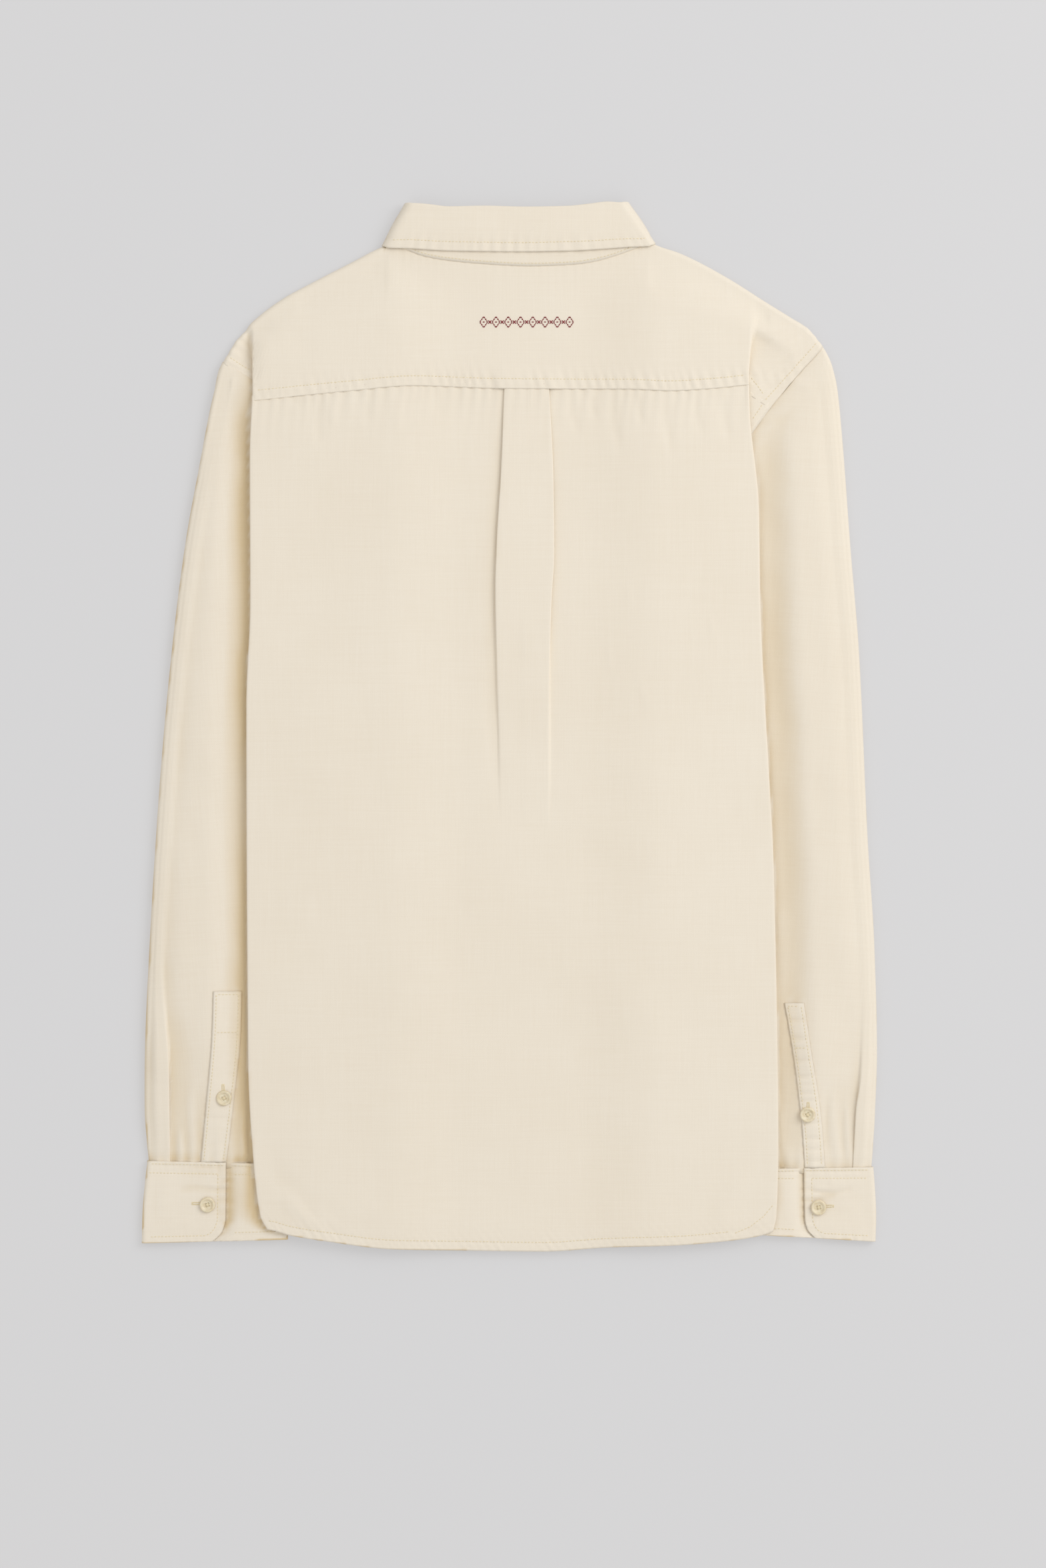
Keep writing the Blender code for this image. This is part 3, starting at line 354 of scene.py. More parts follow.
bodyCloth = oxfordMaterial("bodyOxford", clothLook)
sleeveLook = {**clothLook, "colour": (0.872, 0.796, 0.674), "shade": (0.815, 0.722, 0.585)}
sleeveCloth = {side: oxfordMaterial("sleeveOxford" + sideNames[side].title(), sleeveLook, side * 4.0)
               for side in (left, right)}
trimCloth = oxfordMaterial("trimOxford", clothLook, 1.5)
print("cloth finishes ready")

# The torso: sides turned under along straight folds, armholes and seams

torso = {
    "pastSides": 200.0,  # out, where the yoke's seam and the hem have ended
    "bendPoints": 8,  # in each bend of a side fold
    # height, out, depth, degrees turned
    "backFolds": {
        left: [(303, 191.8, 1.5, 0), (290, 191.7, 2, 80), (275, 191.6, 4, 160), (262, 191.6, 10, 180),
               (199, 193.7, 14, 180), (94, 193.3, 14, 180), (15, 196.2, 14, 180), (-255, 194.8, 14, 180),
               (-320, 191.3, 14, 180), (-366, 185.8, 14, 180), (-377, 179.8, 14, 180)],
        right: [(325, 180.0, 1.5, 0), (300, 180.6, 1.5, 20), (290, 180.4, 2, 80), (275, 179.6, 4, 150),
                (262, 178.8, 8, 180), (237, 179.3, 14, 180), (164, 186.2, 16, 180), (94, 187.3, 16, 180),
                (-43, 194.2, 16, 180), (-102, 197.2, 16, 180), (-320, 200.7, 16, 180),
                (-366, 199.3, 16, 180), (-377, 196.5, 16, 180)],
    },
    "frontFolds": {
        left: [(273, 168.0, 1.5, 0), (260, 169.0, 1.5, 110), (250, 171.0, 3, 180), (215, 184.0, 14, 180),
               (94, 190.8, 14, 180), (-255, 192.3, 14, 180), (-377, 180.8, 14, 180)],
        right: [(285, 176.5, 1.5, 0), (256, 177.0, 1.5, 80), (236, 178.0, 8, 180), (94, 184.8, 16, 180),
                (-43, 191.7, 16, 180), (-320, 198.2, 16, 180), (-377, 195.5, 16, 180)],
    },
    # height, out
    "armholes": {
        left: [(269.8, 212.4), (259.2, 192.3), (241, 170.0), (200, 151.0), (150, 135.0), (100, 122.0),
               (54, 115.5)],
        right: [(281.0, 233.0), (260.5, 214.2), (237.3, 195.0), (205, 172.8), (150, 144.0), (100, 126.0),
                (54, 115.5)],
    },
    "neckEnd": (90, 331.0),  # out from the shirt's centre, y: where the fronts' neck meets the yoke
    "backCorners": {left: 241.0, right: 237.3},
    "frontCorners": {left: 259.2, right: 260.5},
    # x, y
    "yokeSeam": [(-193, 242.8), (-118, 250.2), (-70, 254.1), (-4, 252.2), (88, 251.6), (120, 250.2),
                 (150, 251.8), (179, 254.8)],
    "hem": [(-190, -376.0), (-180, -376.6), (-162, -381.2), (-137, -385.2), (-87, -391.2), (-36, -392.4),
            (26, -393.2), (76, -390.0), (126, -388.2), (163, -385.0), (188, -381.0), (200, -376.5)],
    # height, left edge, right edge, depth, degrees turned
    "boxPleat": [(252, -3.3, 29.8, 9, 180), (187, -5.8, 32.8, 7, 176), (133, -9.2, 33.3, 3, 168),
                 (100, -10.2, 31.3, 1.5, 150), (49, -9.2, 29.8, 1.5, 90), (-6, -7.2, 29.3, 1.5, 40),
                 (-66, -6.0, 29.0, 1.5, 0)],
    "pleatRadius": 0.52,
    "yokeRise": 1.4,  # over the end of the box pleat
    "yokeRiseSides": (27.0, 19.0),  # from the pleat's middle, where it starts and ends
}


def alongY(rows, x):
    return curve([row[0] for row in rows], [row[1] for row in rows], x)


def armholeOut(side, height):
    return column(torso["armholes"][side], 1, np.maximum(height, underarm))


def sideFold(folds, side, tipHeight, edgeHeight):
    turn = float(column(folds, 3, tipHeight))
    tip = float(column(folds, 1, tipHeight))
    edge = float(armholeOut(side, edgeHeight))
    turned = float(smooth(168, 180, turn))
    depth = mix(1.5, max(float(column(folds, 2, tipHeight)), tip - edge + 6.0), turned)
    return foldPath(turn, depth, cloth["foldRadius"], straight=6), tip, edge


def collarRise(x, y):
    near = 1 - smooth(100, 115, np.abs(x - shirtCentre))
    return (levels["collarRest"] - levels["front"]) * near * smooth(205, 220, y)


def backLevel(x):
    return mix(levels["backCentre"], levels["back"], smooth(42, 104, np.abs(x - shirtCentre)))


def seamLevel(x):  # where the yoke's lower edge lies
    middle = (torso["boxPleat"][0][1] + torso["boxPleat"][0][2]) / 2
    return backLevel(x) + torso["yokeRise"] * smooth(*torso["yokeRiseSides"], np.abs(x - middle))


def bodyWaves(x, y):  # broad unevenness of the laid cloth
    broad = 0.55 * driftOver(x, y * 0.6, 70, 3) + 0.28 * driftOver(x * 0.8 + y * 0.25, y, 34, 8)
    return broad + 0.07 * driftOver(x, y, 11, 15)


backPuckers = {
    "gatherPitch": 8.5,
    "gatherHeight": 0.55,
    "gatherReach": 13.0,
    "hemPitch": 6.2,
    "hemHeight": 0.30,
    "hemBand": 6.6,  # from the edge to the stitching
    # gathers that run on down from the yoke seam, and creases left by folding
    "creases": [
        (-157.5, 250, -158.5, 236, 2.6, -0.55), (-141.5, 252, -142.5, 205, 3.2, -0.75),
        (-131, 252, -133, 222, 3.0, 0.5), (-104, 252, -108, 224, 4.5, -0.4), (-81, 255, -84, 214, 4.0, 0.4),
        (-52, 255, -54, 230, 3.0, -0.4), (48, 252, 50, 214, 3.4, -0.55), (63, 252, 64, 226, 3.0, -0.5),
        (79, 252, 82, 200, 3.8, -0.5), (97, 251, 99, 222, 3.0, -0.5), (118, 251, 121, 196, 4.0, -0.5),
        (140, 252, 143, 214, 3.6, -0.45), (160, 253, 165, 206, 4.2, -0.5),
        (73, 60, 78, 40, 1.6, 0.35), (93, 42, 110, 6, 2.0, 0.4), (148, 84, 160, 52, 2.0, 0.35),
        (88, 108, 92, 84, 2.4, 0.25), (-14, 60, -6, -70, 5.0, -0.45),
        (-176, -340, -126, -384, 7.0, 0.9), (-160, -350, -120, -388, 4.0, -0.5),
        (-186, -300, -150, -372, 9.0, -0.6), (185, -330, 150, -384, 8.0, 0.6),
        (120, -352, 121, -340, 0.5, 0.3), (121, -341, 137, -337, 0.5, 0.3),
        (150, -120, 120, -260, 26.0, -0.8), (-60, -140, -20, -300, 34.0, 0.7),
        (60, -100, 90, -250, 30.0, 0.6), (-150, 60, -110, -120, 30.0, 0.6),
    ],
}


def backLift(x, y, seamY, hemY):
    below = seamY - y
    above = y - hemY
    marks = backPuckers
    gathers = ripple(x + 0.12 * below, marks["gatherPitch"], 21) * fade(below, 0, marks["gatherReach"])
    slanted = ripple(x + 0.8 * above, marks["hemPitch"], 33) * fade(above, marks["hemBand"], 6.0)
    lift = marks["gatherHeight"] * gathers + marks["hemHeight"] * slanted
    lift = lift - 0.22 * bell(above, marks["hemBand"], 1.1)  # the pull of the hem stitching
    lift = lift + creases(x, y, marks["creases"])
    return lift + bodyWaves(x, y) * smooth(0, 40, below) * smooth(0, 30, above)


backColumns = {"middle": 8, "body": 98, "flap": 9}


def backHalf(side, share):
    seamTip = float(alongY(torso["yokeSeam"], side * torso["pastSides"]))
    hemTip = float(alongY(torso["hem"], side * torso["pastSides"]))
    tipHeight = mix(seamTip, hemTip, share)
    edgeHeight = mix(torso["backCorners"][side], sideSeamHem, share)
    fold, tip, edge = sideFold(torso["backFolds"][side], side, tipHeight, edgeHeight)
    fromSeam = seamTip - tipHeight

    # the box pleat is pressed flat at its top and opens further down
    pleats = torso["boxPleat"]
    pleatTurn = float(column(pleats, 4, tipHeight))
    pleatDepth = float(column(pleats, 3, tipHeight)) * float(smooth(90, 176, pleatTurn)) + 0.2
    radius = mix(cloth["pressedRadius"], torso["pleatRadius"], float(smooth(0, 45, fromSeam)))
    pleat = foldPath(pleatTurn, pleatDepth, radius)
    edges = [float(column(pleats, number, tipHeight)) for number in (1, 2)]
    middle = side * sum(edges) / 2
    pleatOut = pleat[:, 0] + side * edges[0 if side == left else 1]

    middleOut = np.linspace(middle, pleatOut[0], backColumns["middle"] + 1)[:-1]
    bodyOut = np.linspace(pleatOut[-1], tip + fold[0, 0], backColumns["body"] + 2)[1:-1]
    foldOut = fold[:, 0] + tip
    flapShares = np.linspace(0, 1, backColumns["flap"] + 1)[1:]
    flapOut = mix(foldOut[-1], edge, flapShares)
    out = np.concatenate([middleOut, pleatOut, bodyOut, foldOut, flapOut])

    flat = backLevel(side * bodyOut)
    atSeam = flat - cloth["seamDrop"] * mix(1.0, 0.6, smooth(5, 1, bodyOut[-1] - bodyOut))
    body = mix(atSeam, flat, float(smooth(0, 38, fromSeam)))
    pleatLevel = pleat[:, 1] - pleat[-1, 1] + body[0]
    foldLevel = levels["back"] + fold[:, 1]
    lip = mix(levels["upperSleeve"], levels["seamBack"], float(smooth(underarm + 26, underarm, edgeHeight)))
    flap = mix(foldLevel[-1], lip, flapShares)
    level = np.concatenate([np.full(len(middleOut), pleatLevel[0]), pleatLevel, body, foldLevel, flap])

    start = alongY(torso["yokeSeam"], side * out)
    end = alongY(torso["hem"], side * out)
    flapCount = backColumns["flap"]
    start[-flapCount - torso["bendPoints"] :] = seamTip
    end[-flapCount - torso["bendPoints"] :] = sideSeamHem - 2
    start[-flapCount:] = mix(seamTip, torso["backCorners"][side], flapShares)
    end[-flapCount:] = mix(sideSeamHem - 2, sideSeamHem, flapShares)
    height = mix(start, end, share)

    top = np.zeros(len(out))  # how much of the lift each column takes
    pleatStart = len(middleOut)
    bodyStart = pleatStart + len(pleat)
    foldStart = bodyStart + len(bodyOut)
    top[pleatStart:bodyStart] = 1 - float(smooth(25, 110, pleatTurn))
    top[: pleatStart + 4] = 1
    top[bodyStart - 8 : foldStart] = 1
    top[foldStart : foldStart + 4] = (1, 1, 0.8, 0.5)
    lift = backLift(side * out, height, start, end)
    # by the side fold no gather may reach the yoke's edge, and no trough what lies below
    held = smooth(18, 6, foldOut[0] - out) * float(smooth(38, 0, fromSeam))
    lift = np.maximum(lift - np.maximum(lift, 0) * held, -0.55) * top
    return np.column_stack([side * out, height, level + lift])


def joinHalves(half, share):
    rows = [half(side, share) for side in (left, right)]
    return np.vstack([rows[0][:0:-1], rows[1]])


def backGrid():
    shares = spread((0, 0.06, 22), (0.06, 0.93, 78), (0.93, 1, 34))
    rows = [joinHalves(backHalf, share) for share in shares]
    # the panel dips at its top and goes on below the yoke's edge
    under = []
    for share in (1, 0.5):
        row = rows[0].copy()
        row[:, 1] += cloth["seamUnder"] * share
        under.append(row)
    return np.array(under + rows)


back = makeSheet("backPanel", backGrid(), cloth["wall"], bodyCloth, replaces="back")
print("back made")

# The yoke, from the back seam over the shoulder roll to the seam with the fronts

yoke = {
    "neck": [(-88, 361.2), (-80, 357.0), (-64, 350.7), (-45, 347.3), (-25, 345.3), (15, 343.2), (48, 344.3),
             (64, 346.6), (80, 351.3), (98, 357.6), (103, 360.6)],
    "shoulders": {
        left: [(92, 361.8), (96.5, 359.2), (109, 352.3), (139, 336.8), (166, 322.0), (187, 306.8),
               (202, 291.8), (214, 276.8)],
        right: [(105, 363.5), (133, 351.8), (161, 336.8), (185, 321.8), (209, 306.8), (221, 299.3),
                (236, 284.0)],
    },
    "normals": {left: (0.58, 0.81), right: (0.53, 0.85)},
    "stitchAbove": 7.5,  # the topstitching, from the seam
    "frontStill": 140.0,  # out, where the front edge starts to draw in towards the armhole
    "puckerPitch": 7.4,
    "puckerHeight": 0.55,
    "armholePitch": 8.0,
    "armholeHeight": 0.42,
    "creases": [
        (196, 302, 182, 303, 5.0, -0.9), (188, 294, 196, 286, 6.0, -0.7), (196, 262, 203, 248, 6.0, -0.6),
        (213, 270, 226, 276, 2.6, -0.5), (-192, 285, -201, 262, 6.0, -0.7), (-188, 300, -150, 322, 14.0, 0.5),
        (-150, 268, -170, 300, 9.0, -0.35), (140, 300, 165, 275, 12.0, 0.35),
        (-104, 350, -90, 330, 8.0, -0.4), (120, 345, 108, 322, 8.0, -0.4), (-60, 330, -100, 290, 24.0, 0.3),
        (70, 335, 110, 300, 24.0, 0.3),
    ],
}


def yokeTop(side, out):
    radius = (levels["shoulder"] - levels["front"]) / 2
    inset = (radius + cloth["wall"] / 2) / yoke["normals"][side][1]
    neck = alongY(yoke["neck"], side * out) - 0.2
    shoulder = alongY(yoke["shoulders"][side], out) - inset
    return np.where(out < yoke["shoulders"][side][0][0], neck, shoulder)


yokeColumns = {"neck": 54, "shoulder": 46, "flap": 24}


def yokeLift(x, y, out, edgeDistance):
    above = y - alongY(torso["yokeSeam"], x)
    belowNeck = alongY(yoke["neck"], x) - y
    stitch = yoke["stitchAbove"]
    puckers = ripple(x + 0.3 * above, yoke["puckerPitch"], 44) * fade(above, stitch, 5.0)
    lift = yoke["puckerHeight"] * puckers * smooth(-0.5, 2, above)
    lift = lift - 0.2 * bell(above, stitch, 1.0)
    nearNeck = fade(belowNeck, 0, 7.0) * smooth(112, 92, np.abs(x - 6))
    lift = lift + 0.2 * ripple(x, 6.0, 52) * nearNeck
    nearHole = smooth(150, 175, out)
    puckers = ripple(y - 0.5 * out, yoke["armholePitch"], 61) * fade(edgeDistance, 7.0, 5.0)
    lift = lift + yoke["armholeHeight"] * puckers * nearHole
    lift = lift - 0.22 * bell(edgeDistance, 6.6, 1.0) * nearHole
    lift = lift + creases(x, y, yoke["creases"])
    return lift + 0.7 * bodyWaves(x, y) * smooth(0, 25, above) * smooth(0, 18, np.abs(belowNeck))


def yokeHalf(side, share):
    centre = side * shirtCentre
    seamTip = float(alongY(torso["yokeSeam"], side * torso["pastSides"]))
    topTip = float(yokeTop(side, np.array([torso["backFolds"][side][0][1]]))[0])
    tipHeight = mix(seamTip, topTip, share)
    edgeHeight = mix(torso["backCorners"][side], torso["armholes"][side][0][0], share)
    fold, tip, edge = sideFold(torso["backFolds"][side], side, tipHeight, edgeHeight)
    neckEnd = yoke["shoulders"][side][0][0]
    neckOut = np.linspace(centre, neckEnd - 1.0, yokeColumns["neck"])
    shoulderOut = np.linspace(neckEnd + 0.5, tip + fold[0, 0], yokeColumns["shoulder"])[:-1]
    bodyOut = np.concatenate([neckOut, shoulderOut])
    foldOut = fold[:, 0] + tip
    flapShares = np.linspace(0, 1, yokeColumns["flap"] + 1)[1:]
    flapOut = mix(foldOut[-1], edge, flapShares)
    out = np.concatenate([bodyOut, foldOut, flapOut])
    top = float(smooth(0.6, 1, share))
    rest = float(smooth(0.24, 0, share))
    body = mix(backLevel(side * bodyOut), seamLevel(side * bodyOut), rest)
    body = mix(body, levels["shoulder"], top)
    foldLevel = mix(levels["back"], levels["shoulder"], top) + fold[:, 1]
    last = mix(levels["upperSleeve"], levels["shoulder"], top)
    level = np.concatenate([body, foldLevel, mix(foldLevel[-1], last, flapShares)])
    start = alongY(torso["yokeSeam"], side * out)
    flapCount = len(flapOut)
    start[-flapCount - torso["bendPoints"] :] = seamTip
    start[-flapCount:] = mix(seamTip, torso["backCorners"][side], flapShares)
    end = yokeTop(side, out)
    end = end - (end[-1] - torso["armholes"][side][0][0]) * smooth(edge - 11, edge, out)
    height = mix(start, end, share)
    takes = np.ones(len(out))
    turned = float(smooth(60, 150, float(column(torso["backFolds"][side], 3, tipHeight))))
    first = len(bodyOut)
    takes[first + 2 : -flapCount] = 1 - turned
    takes[-flapCount:] = mix(1.0, 0.75, turned)
    # to the armhole along the cloth, so its puckers stay off the layer above a turned flap
    steps = np.abs(np.diff(out))
    edgeDistance = np.append(np.cumsum(steps[::-1])[::-1], 0) * 0.78
    lift = yokeLift(side * out, height, out, edgeDistance)
    return np.column_stack([side * out, height, level + np.clip(lift, -0.8, 1.5) * takes])


def frontSeam(side, out):
    neckOut, neckY = torso["neckEnd"]
    cornerY = torso["frontCorners"][side]
    cornerOut = float(armholeOut(side, cornerY))
    return np.interp(out, [neckOut + side * shirtCentre, cornerOut], [neckY, cornerY])


def makeYoke():
    shares = spread((0, 0.16, 14), (0.16, 0.86, 30), (0.86, 1, 9))
    grid = [joinHalves(yokeHalf, share) for share in shares]
    backRows = len(grid) - 1
    top = grid[-1]
    sides = np.where(top[:, 0] < shirtCentre, left, right)
    normals = np.array([yoke["normals"][side] for side in sides])
    floor = levels["front"] + collarRise(top[:, 0], top[:, 1])
    radius = (top[:, 2] - floor) / 2
    for angle in np.radians(np.linspace(0, 180, 11)[1:]):
        row = top.copy()
        row[:, 0] += sides * normals[:, 0] * radius * math.sin(angle)
        row[:, 1] += normals[:, 1] * radius * math.sin(angle)
        row[:, 2] = floor + radius * (1 + math.cos(angle))
        grid.append(row)
    for share in (0.15, 0.3, 0.45, 0.6, 0.75, 0.88, 1):
        row = top.copy()
        for side in (left, right):
            mine = sides == side
            out = side * top[mine, 0]
            edge = float(armholeOut(side, torso["frontCorners"][side]))
            still = yoke["frontStill"]
            drawnIn = (edge - still) / (out.max() - still)
            out = mix(out, np.where(out > still, still + (out - still) * drawnIn, out), share)
            row[mine, 0] = side * out
            row[mine, 1] = mix(top[mine, 1], frontSeam(side, out), share)
        row[:, 2] = levels["front"] + collarRise(row[:, 0], row[:, 1])
        grid.append(row)
    grid = np.array(grid)
    middle = grid.shape[1] // 2
    neckColumns = slice(middle - yokeColumns["neck"] + 1, middle + yokeColumns["neck"])
    grid[backRows + 1, neckColumns] = grid[backRows, neckColumns] + (0, 3.0, -0.4)  # below the stand
    cols = np.arange(grid.shape[1] - 1)
    outside = np.minimum(np.abs(cols - middle), np.abs(cols + 1 - middle)) >= yokeColumns["neck"]
    used = np.tile(outside, (grid.shape[0] - 1, 1))
    used[:backRows] = True
    used[backRows, middle - yokeColumns["neck"] + 1 : middle + yokeColumns["neck"] - 1] = True
    return makeSheet("yokePanel", grid, cloth["wall"], bodyCloth, used=used, replaces="yoke")


yokePiece = makeYoke()
print("yoke made")

# The fronts, plain where the back and the floor hide them

fronts = {
    # out from the shirt's centre, y
    "neck": [(-16, 273.0), (14, 273.0), (33, 280.5), (50, 290.5), (66, 303.5), torso["neckEnd"]],
    "shorterAtHem": 4.0,
    "placketWidth": 34.0,
    "gap": 0.3,
    "sheetColumns": 46,
    "outerColumns": 22,
    "flapColumns": 8,
    "placketColumns": 17,
    "placketRows": 120,
}


def frontLevel(side, out, x, y):
    inner = levels["placket"] if side == left else levels["rightFront"]
    near = 1 - smooth(20 if side == left else 22, 48, out)
    base = levels["front"] + collarRise(x, y)
    return np.maximum(base, mix(levels["front"], inner, near))


def frontRow(side, share):
    centre = side * shirtCentre
    gap = fronts["gap"]
    folds = torso["frontFolds"][side]
    foldStart = folds[0][1]
    topTip = float(frontSeam(side, foldStart)) - gap
    hemTip = float(alongY(torso["hem"], side * torso["pastSides"])) + fronts["shorterAtHem"]
    tipHeight = mix(topTip, hemTip, share)
    edgeHeight = mix(torso["frontCorners"][side] - gap, sideSeamHem, share)
    fold, tip, edge = sideFold(folds, side, tipHeight, edgeHeight)
    half = fronts["placketWidth"] / 2
    first = half + gap if side == left else 2 - half
    neckOut = torso["neckEnd"][0]
    near = centre + np.linspace(first, neckOut, fronts["sheetColumns"])
    beyond = np.linspace(centre + neckOut, tip + fold[0, 0], fronts["outerColumns"] + 2)[1:-1]
    bodyOut = np.concatenate([near, beyond])
    foldOut = fold[:, 0] + tip
    shares = np.linspace(0, 1, fronts["flapColumns"] + 1)[1:]
    flapOut = mix(foldOut[-1], edge, shares)
    out = np.concatenate([bodyOut, foldOut, flapOut])
    fromCentre = out - centre
    neck = np.interp(fromCentre, *zip(*fronts["neck"]))
    start = np.where(fromCentre < neckOut, neck, frontSeam(side, out)) - gap
    end = alongY(torso["hem"], side * out) + fronts["shorterAtHem"]
    count = len(bodyOut)
    start[count : -len(flapOut)] = frontSeam(side, foldStart) - gap
    cornerOut = float(armholeOut(side, torso["frontCorners"][side]))
    start[-len(flapOut) :] = frontSeam(side, mix(foldStart, cornerOut, shares)) - gap
    end[count + torso["bendPoints"] :] = sideSeamHem - 2
    end[-1] = sideSeamHem
    height = mix(start, end, share)
    body = frontLevel(side, fromCentre[:count], side * bodyOut, height[:count])
    foldLevel = levels["front"] - fold[:, 1]
    lip = mix(float(lowerLevel(side, edge, edgeHeight)), levels["seamFront"],
              float(smooth(underarm + 26, underarm, edgeHeight)))
    level = np.concatenate([body, foldLevel, mix(foldLevel[-1], lip, shares)])
    return np.column_stack([side * out, height, level])


# The sleeves and what is sewn on them

sleeve = {
    # height, out
    "outlines": {
        left: [(277.2, 213.6), (262, 218.8), (239, 224.3), (194, 232.3), (134, 242.8), (54, 252.8),
               (-46, 261.8), (-166, 269.3), (-246, 272.8), (-286, 273.3), (-326, 271.7)],
        right: [(284.2, 236.2), (269, 241.8), (254, 245.3), (214, 249.3), (134, 255.3), (54, 261.8),
                (-86, 268.3), (-166, 273.3), (-246, 275.3), (-286, 274.3), (-330, 272.9)],
    },
    # height, out, depth, degrees turned
    "pleats": {
        left: [(-150, 262.0, 1.5, 0), (-200, 259.0, 1.5, 20), (-246, 254.8, 1.5, 110),
               (-266, 254.4, 3, 180), (-326, 254.0, 8, 180)],
        right: [(-190, 266.0, 1.5, 0), (-240, 264.0, 1.5, 30), (-262, 262.5, 1.5, 90),
                (-284, 259.5, 3, 180), (-330, 257.3, 7, 180)],
    },
    "pleatRadius": 0.6,
    "pressedRadius": 0.33,  # of the pleat, where the cuff holds it
    "fromSeam": 450.0,  # about its whole length, as counted from the armhole
    "toCuff": 520.0,  # and as counted from the cuff
    "cuffDrop": 0.75,  # how far it dips to pass below the cuff's edge
    "loft": 2.4,
    "valley": 1.9,  # where it sinks beside the torso
    "frontBand": (250.0, 265.0),  # the lower layer rises onto the front over this
    "shade": (12.0, 42.0),  # outside the fold the sleeve sinks to the floor over this
    "inner": 166.0,  # the cuff's inner fold
    "upperColumns": 78,
    "lowerColumns": 26,
    "arc": 9,
    "armholePitch": 9.0,
    "armholeHeight": 0.35,
    "cuffPitch": 9.5,
    "cuffHeight": 0.55,
    # x, y, x, y, width, height
    "creases": {
        left: [(-206, 262, -207, 249, 1.8, 0.9), (-199, 240, -204, 196, 5.0, -0.7),
               (-212, 230, -222, 150, 10.0, 0.5), (-214, 60, -232, -60, 14.0, 0.5),
               (-250, 20, -236, -120, 10.0, -0.5), (-205, -100, -214, -190, 9.0, 0.5),
               (-238, -140, -244, -250, 9.0, 0.5), (-236, -262, -237, -326, 3.4, 0.5),
               (-268, -270, -268.5, -327, 2.0, 0.55), (-264, -285, -264, -327, 1.6, -0.4),
               (-198, -280, -199, -328, 2.6, 0.6), (-194, -292, -194, -328, 2.0, -0.5),
               (-245, -300, -246, -327, 1.8, 0.5)],
        right: [(196, 228, 214, 232, 3.4, -0.5), (210, 262, 228, 250, 3.0, 0.4),
                (192, 210, 214, 140, 10.0, 0.5), (226, 200, 240, 90, 12.0, 0.4),
                (214, 40, 232, -80, 12.0, -0.5), (236, -60, 248, -190, 12.0, 0.5),
                (210, -120, 206, -200, 8.0, 0.4), (238, -270, 238, -330, 2.0, -0.55),
                (249, -284, 249.5, -331, 1.8, -0.5), (253, -270, 254, -331, 1.8, 0.5),
                (243, -262, 244, -330, 2.4, 0.4), (203, -280, 206, -330, 3.0, 0.5)],
    },
}
cuff = {
    # height, out
    "outlines": {
        left: [(-326, 271.0), (-346, 273.2), (-366, 274.7), (-387, 275.2)],
        right: [(-330, 272.5), (-346, 273.8), (-366, 274.7), (-387, 274.2)],
    },
    # at the inner fold and at the outer one
    "top": {left: (-328.0, -325.4), right: (-331.8, -330.2)},
    "bottom": {left: (-384.3, -387.2), right: (-379.6, -386.0)},
    # share of the way down, where each overlap ends
    "overlapEnds": {left: [(0, 212.0), (0.72, 212.4), (0.88, 215.0), (1, 222.0)],
                    right: [(0, 220.3), (0.72, 221.0), (0.88, 223.0), (1, 229.0)]},
    "underlapBelow": 22.0,
    "overlapColumns": 44,
    "hiddenColumns": 8,  # of the underlap, below the overlap
    "depth": 56.0,
    # rows of stitching: how far below the top, on a cuff taken as 58 deep, and out to where
    "stitchDepth": 58.0,
    "stitchRows": (1.9, 8.4, 53.6),
    "underlapRows": (1.9, 8.4, 51.6),
    "stitchOuter": 270.0,
    "outer": 275.0,  # about where its outer fold lies, for the stitching
    "levels": {"bottom": 0.5, "underlap": 2.95, "overlap": 5.6},
    "turnedLevels": {"bottom": 4.4, "underlap": 6.75},
    "puckerPitch": 6.5,
    "puckerHeight": 0.3,
    "creases": {
        left: [(-204, -339.6, -220, -343.4, 1.2, -0.7), (-204, -347.4, -234, -346.2, 1.3, -0.8),
               (-206, -344.4, -228, -344.4, 1.6, 0.45), (-226, -346.4, -250, -347.4, 2.0, -0.45),
               (-204, -355.8, -222, -355.8, 1.2, -0.6), (-204, -364.2, -222, -364.6, 1.1, -0.5),
               (-204, -368.8, -222, -372.2, 1.2, -0.55), (-206, -360.2, -220, -360.4, 1.4, 0.3),
               (-250, -330, -262, -372, 7.0, 0.45), (-232, -372, -262, -376, 3.0, 0.35)],
        right: [(214, -346.4, 230, -346.2, 1.0, -0.7), (222, -347.2, 248, -350.0, 1.4, -0.9),
                (224, -344.6, 246, -347.0, 1.5, 0.45), (240, -349.8, 258, -345.6, 1.7, -0.6),
                (214, -354.0, 240, -354.2, 1.3, -0.9), (230, -354.6, 246, -350.8, 1.3, -0.75),
                (216, -350.6, 236, -351.0, 1.4, 0.4), (214, -360.4, 230, -360.6, 1.0, -0.65),
                (214, -366.2, 230, -367.0, 1.0, -0.55), (214, -371.0, 230, -371.8, 1.0, -0.5),
                (236, -338, 256, -346, 4.0, 0.35), (244, -340, 262, -372, 7.0, 0.3)],
    },
}
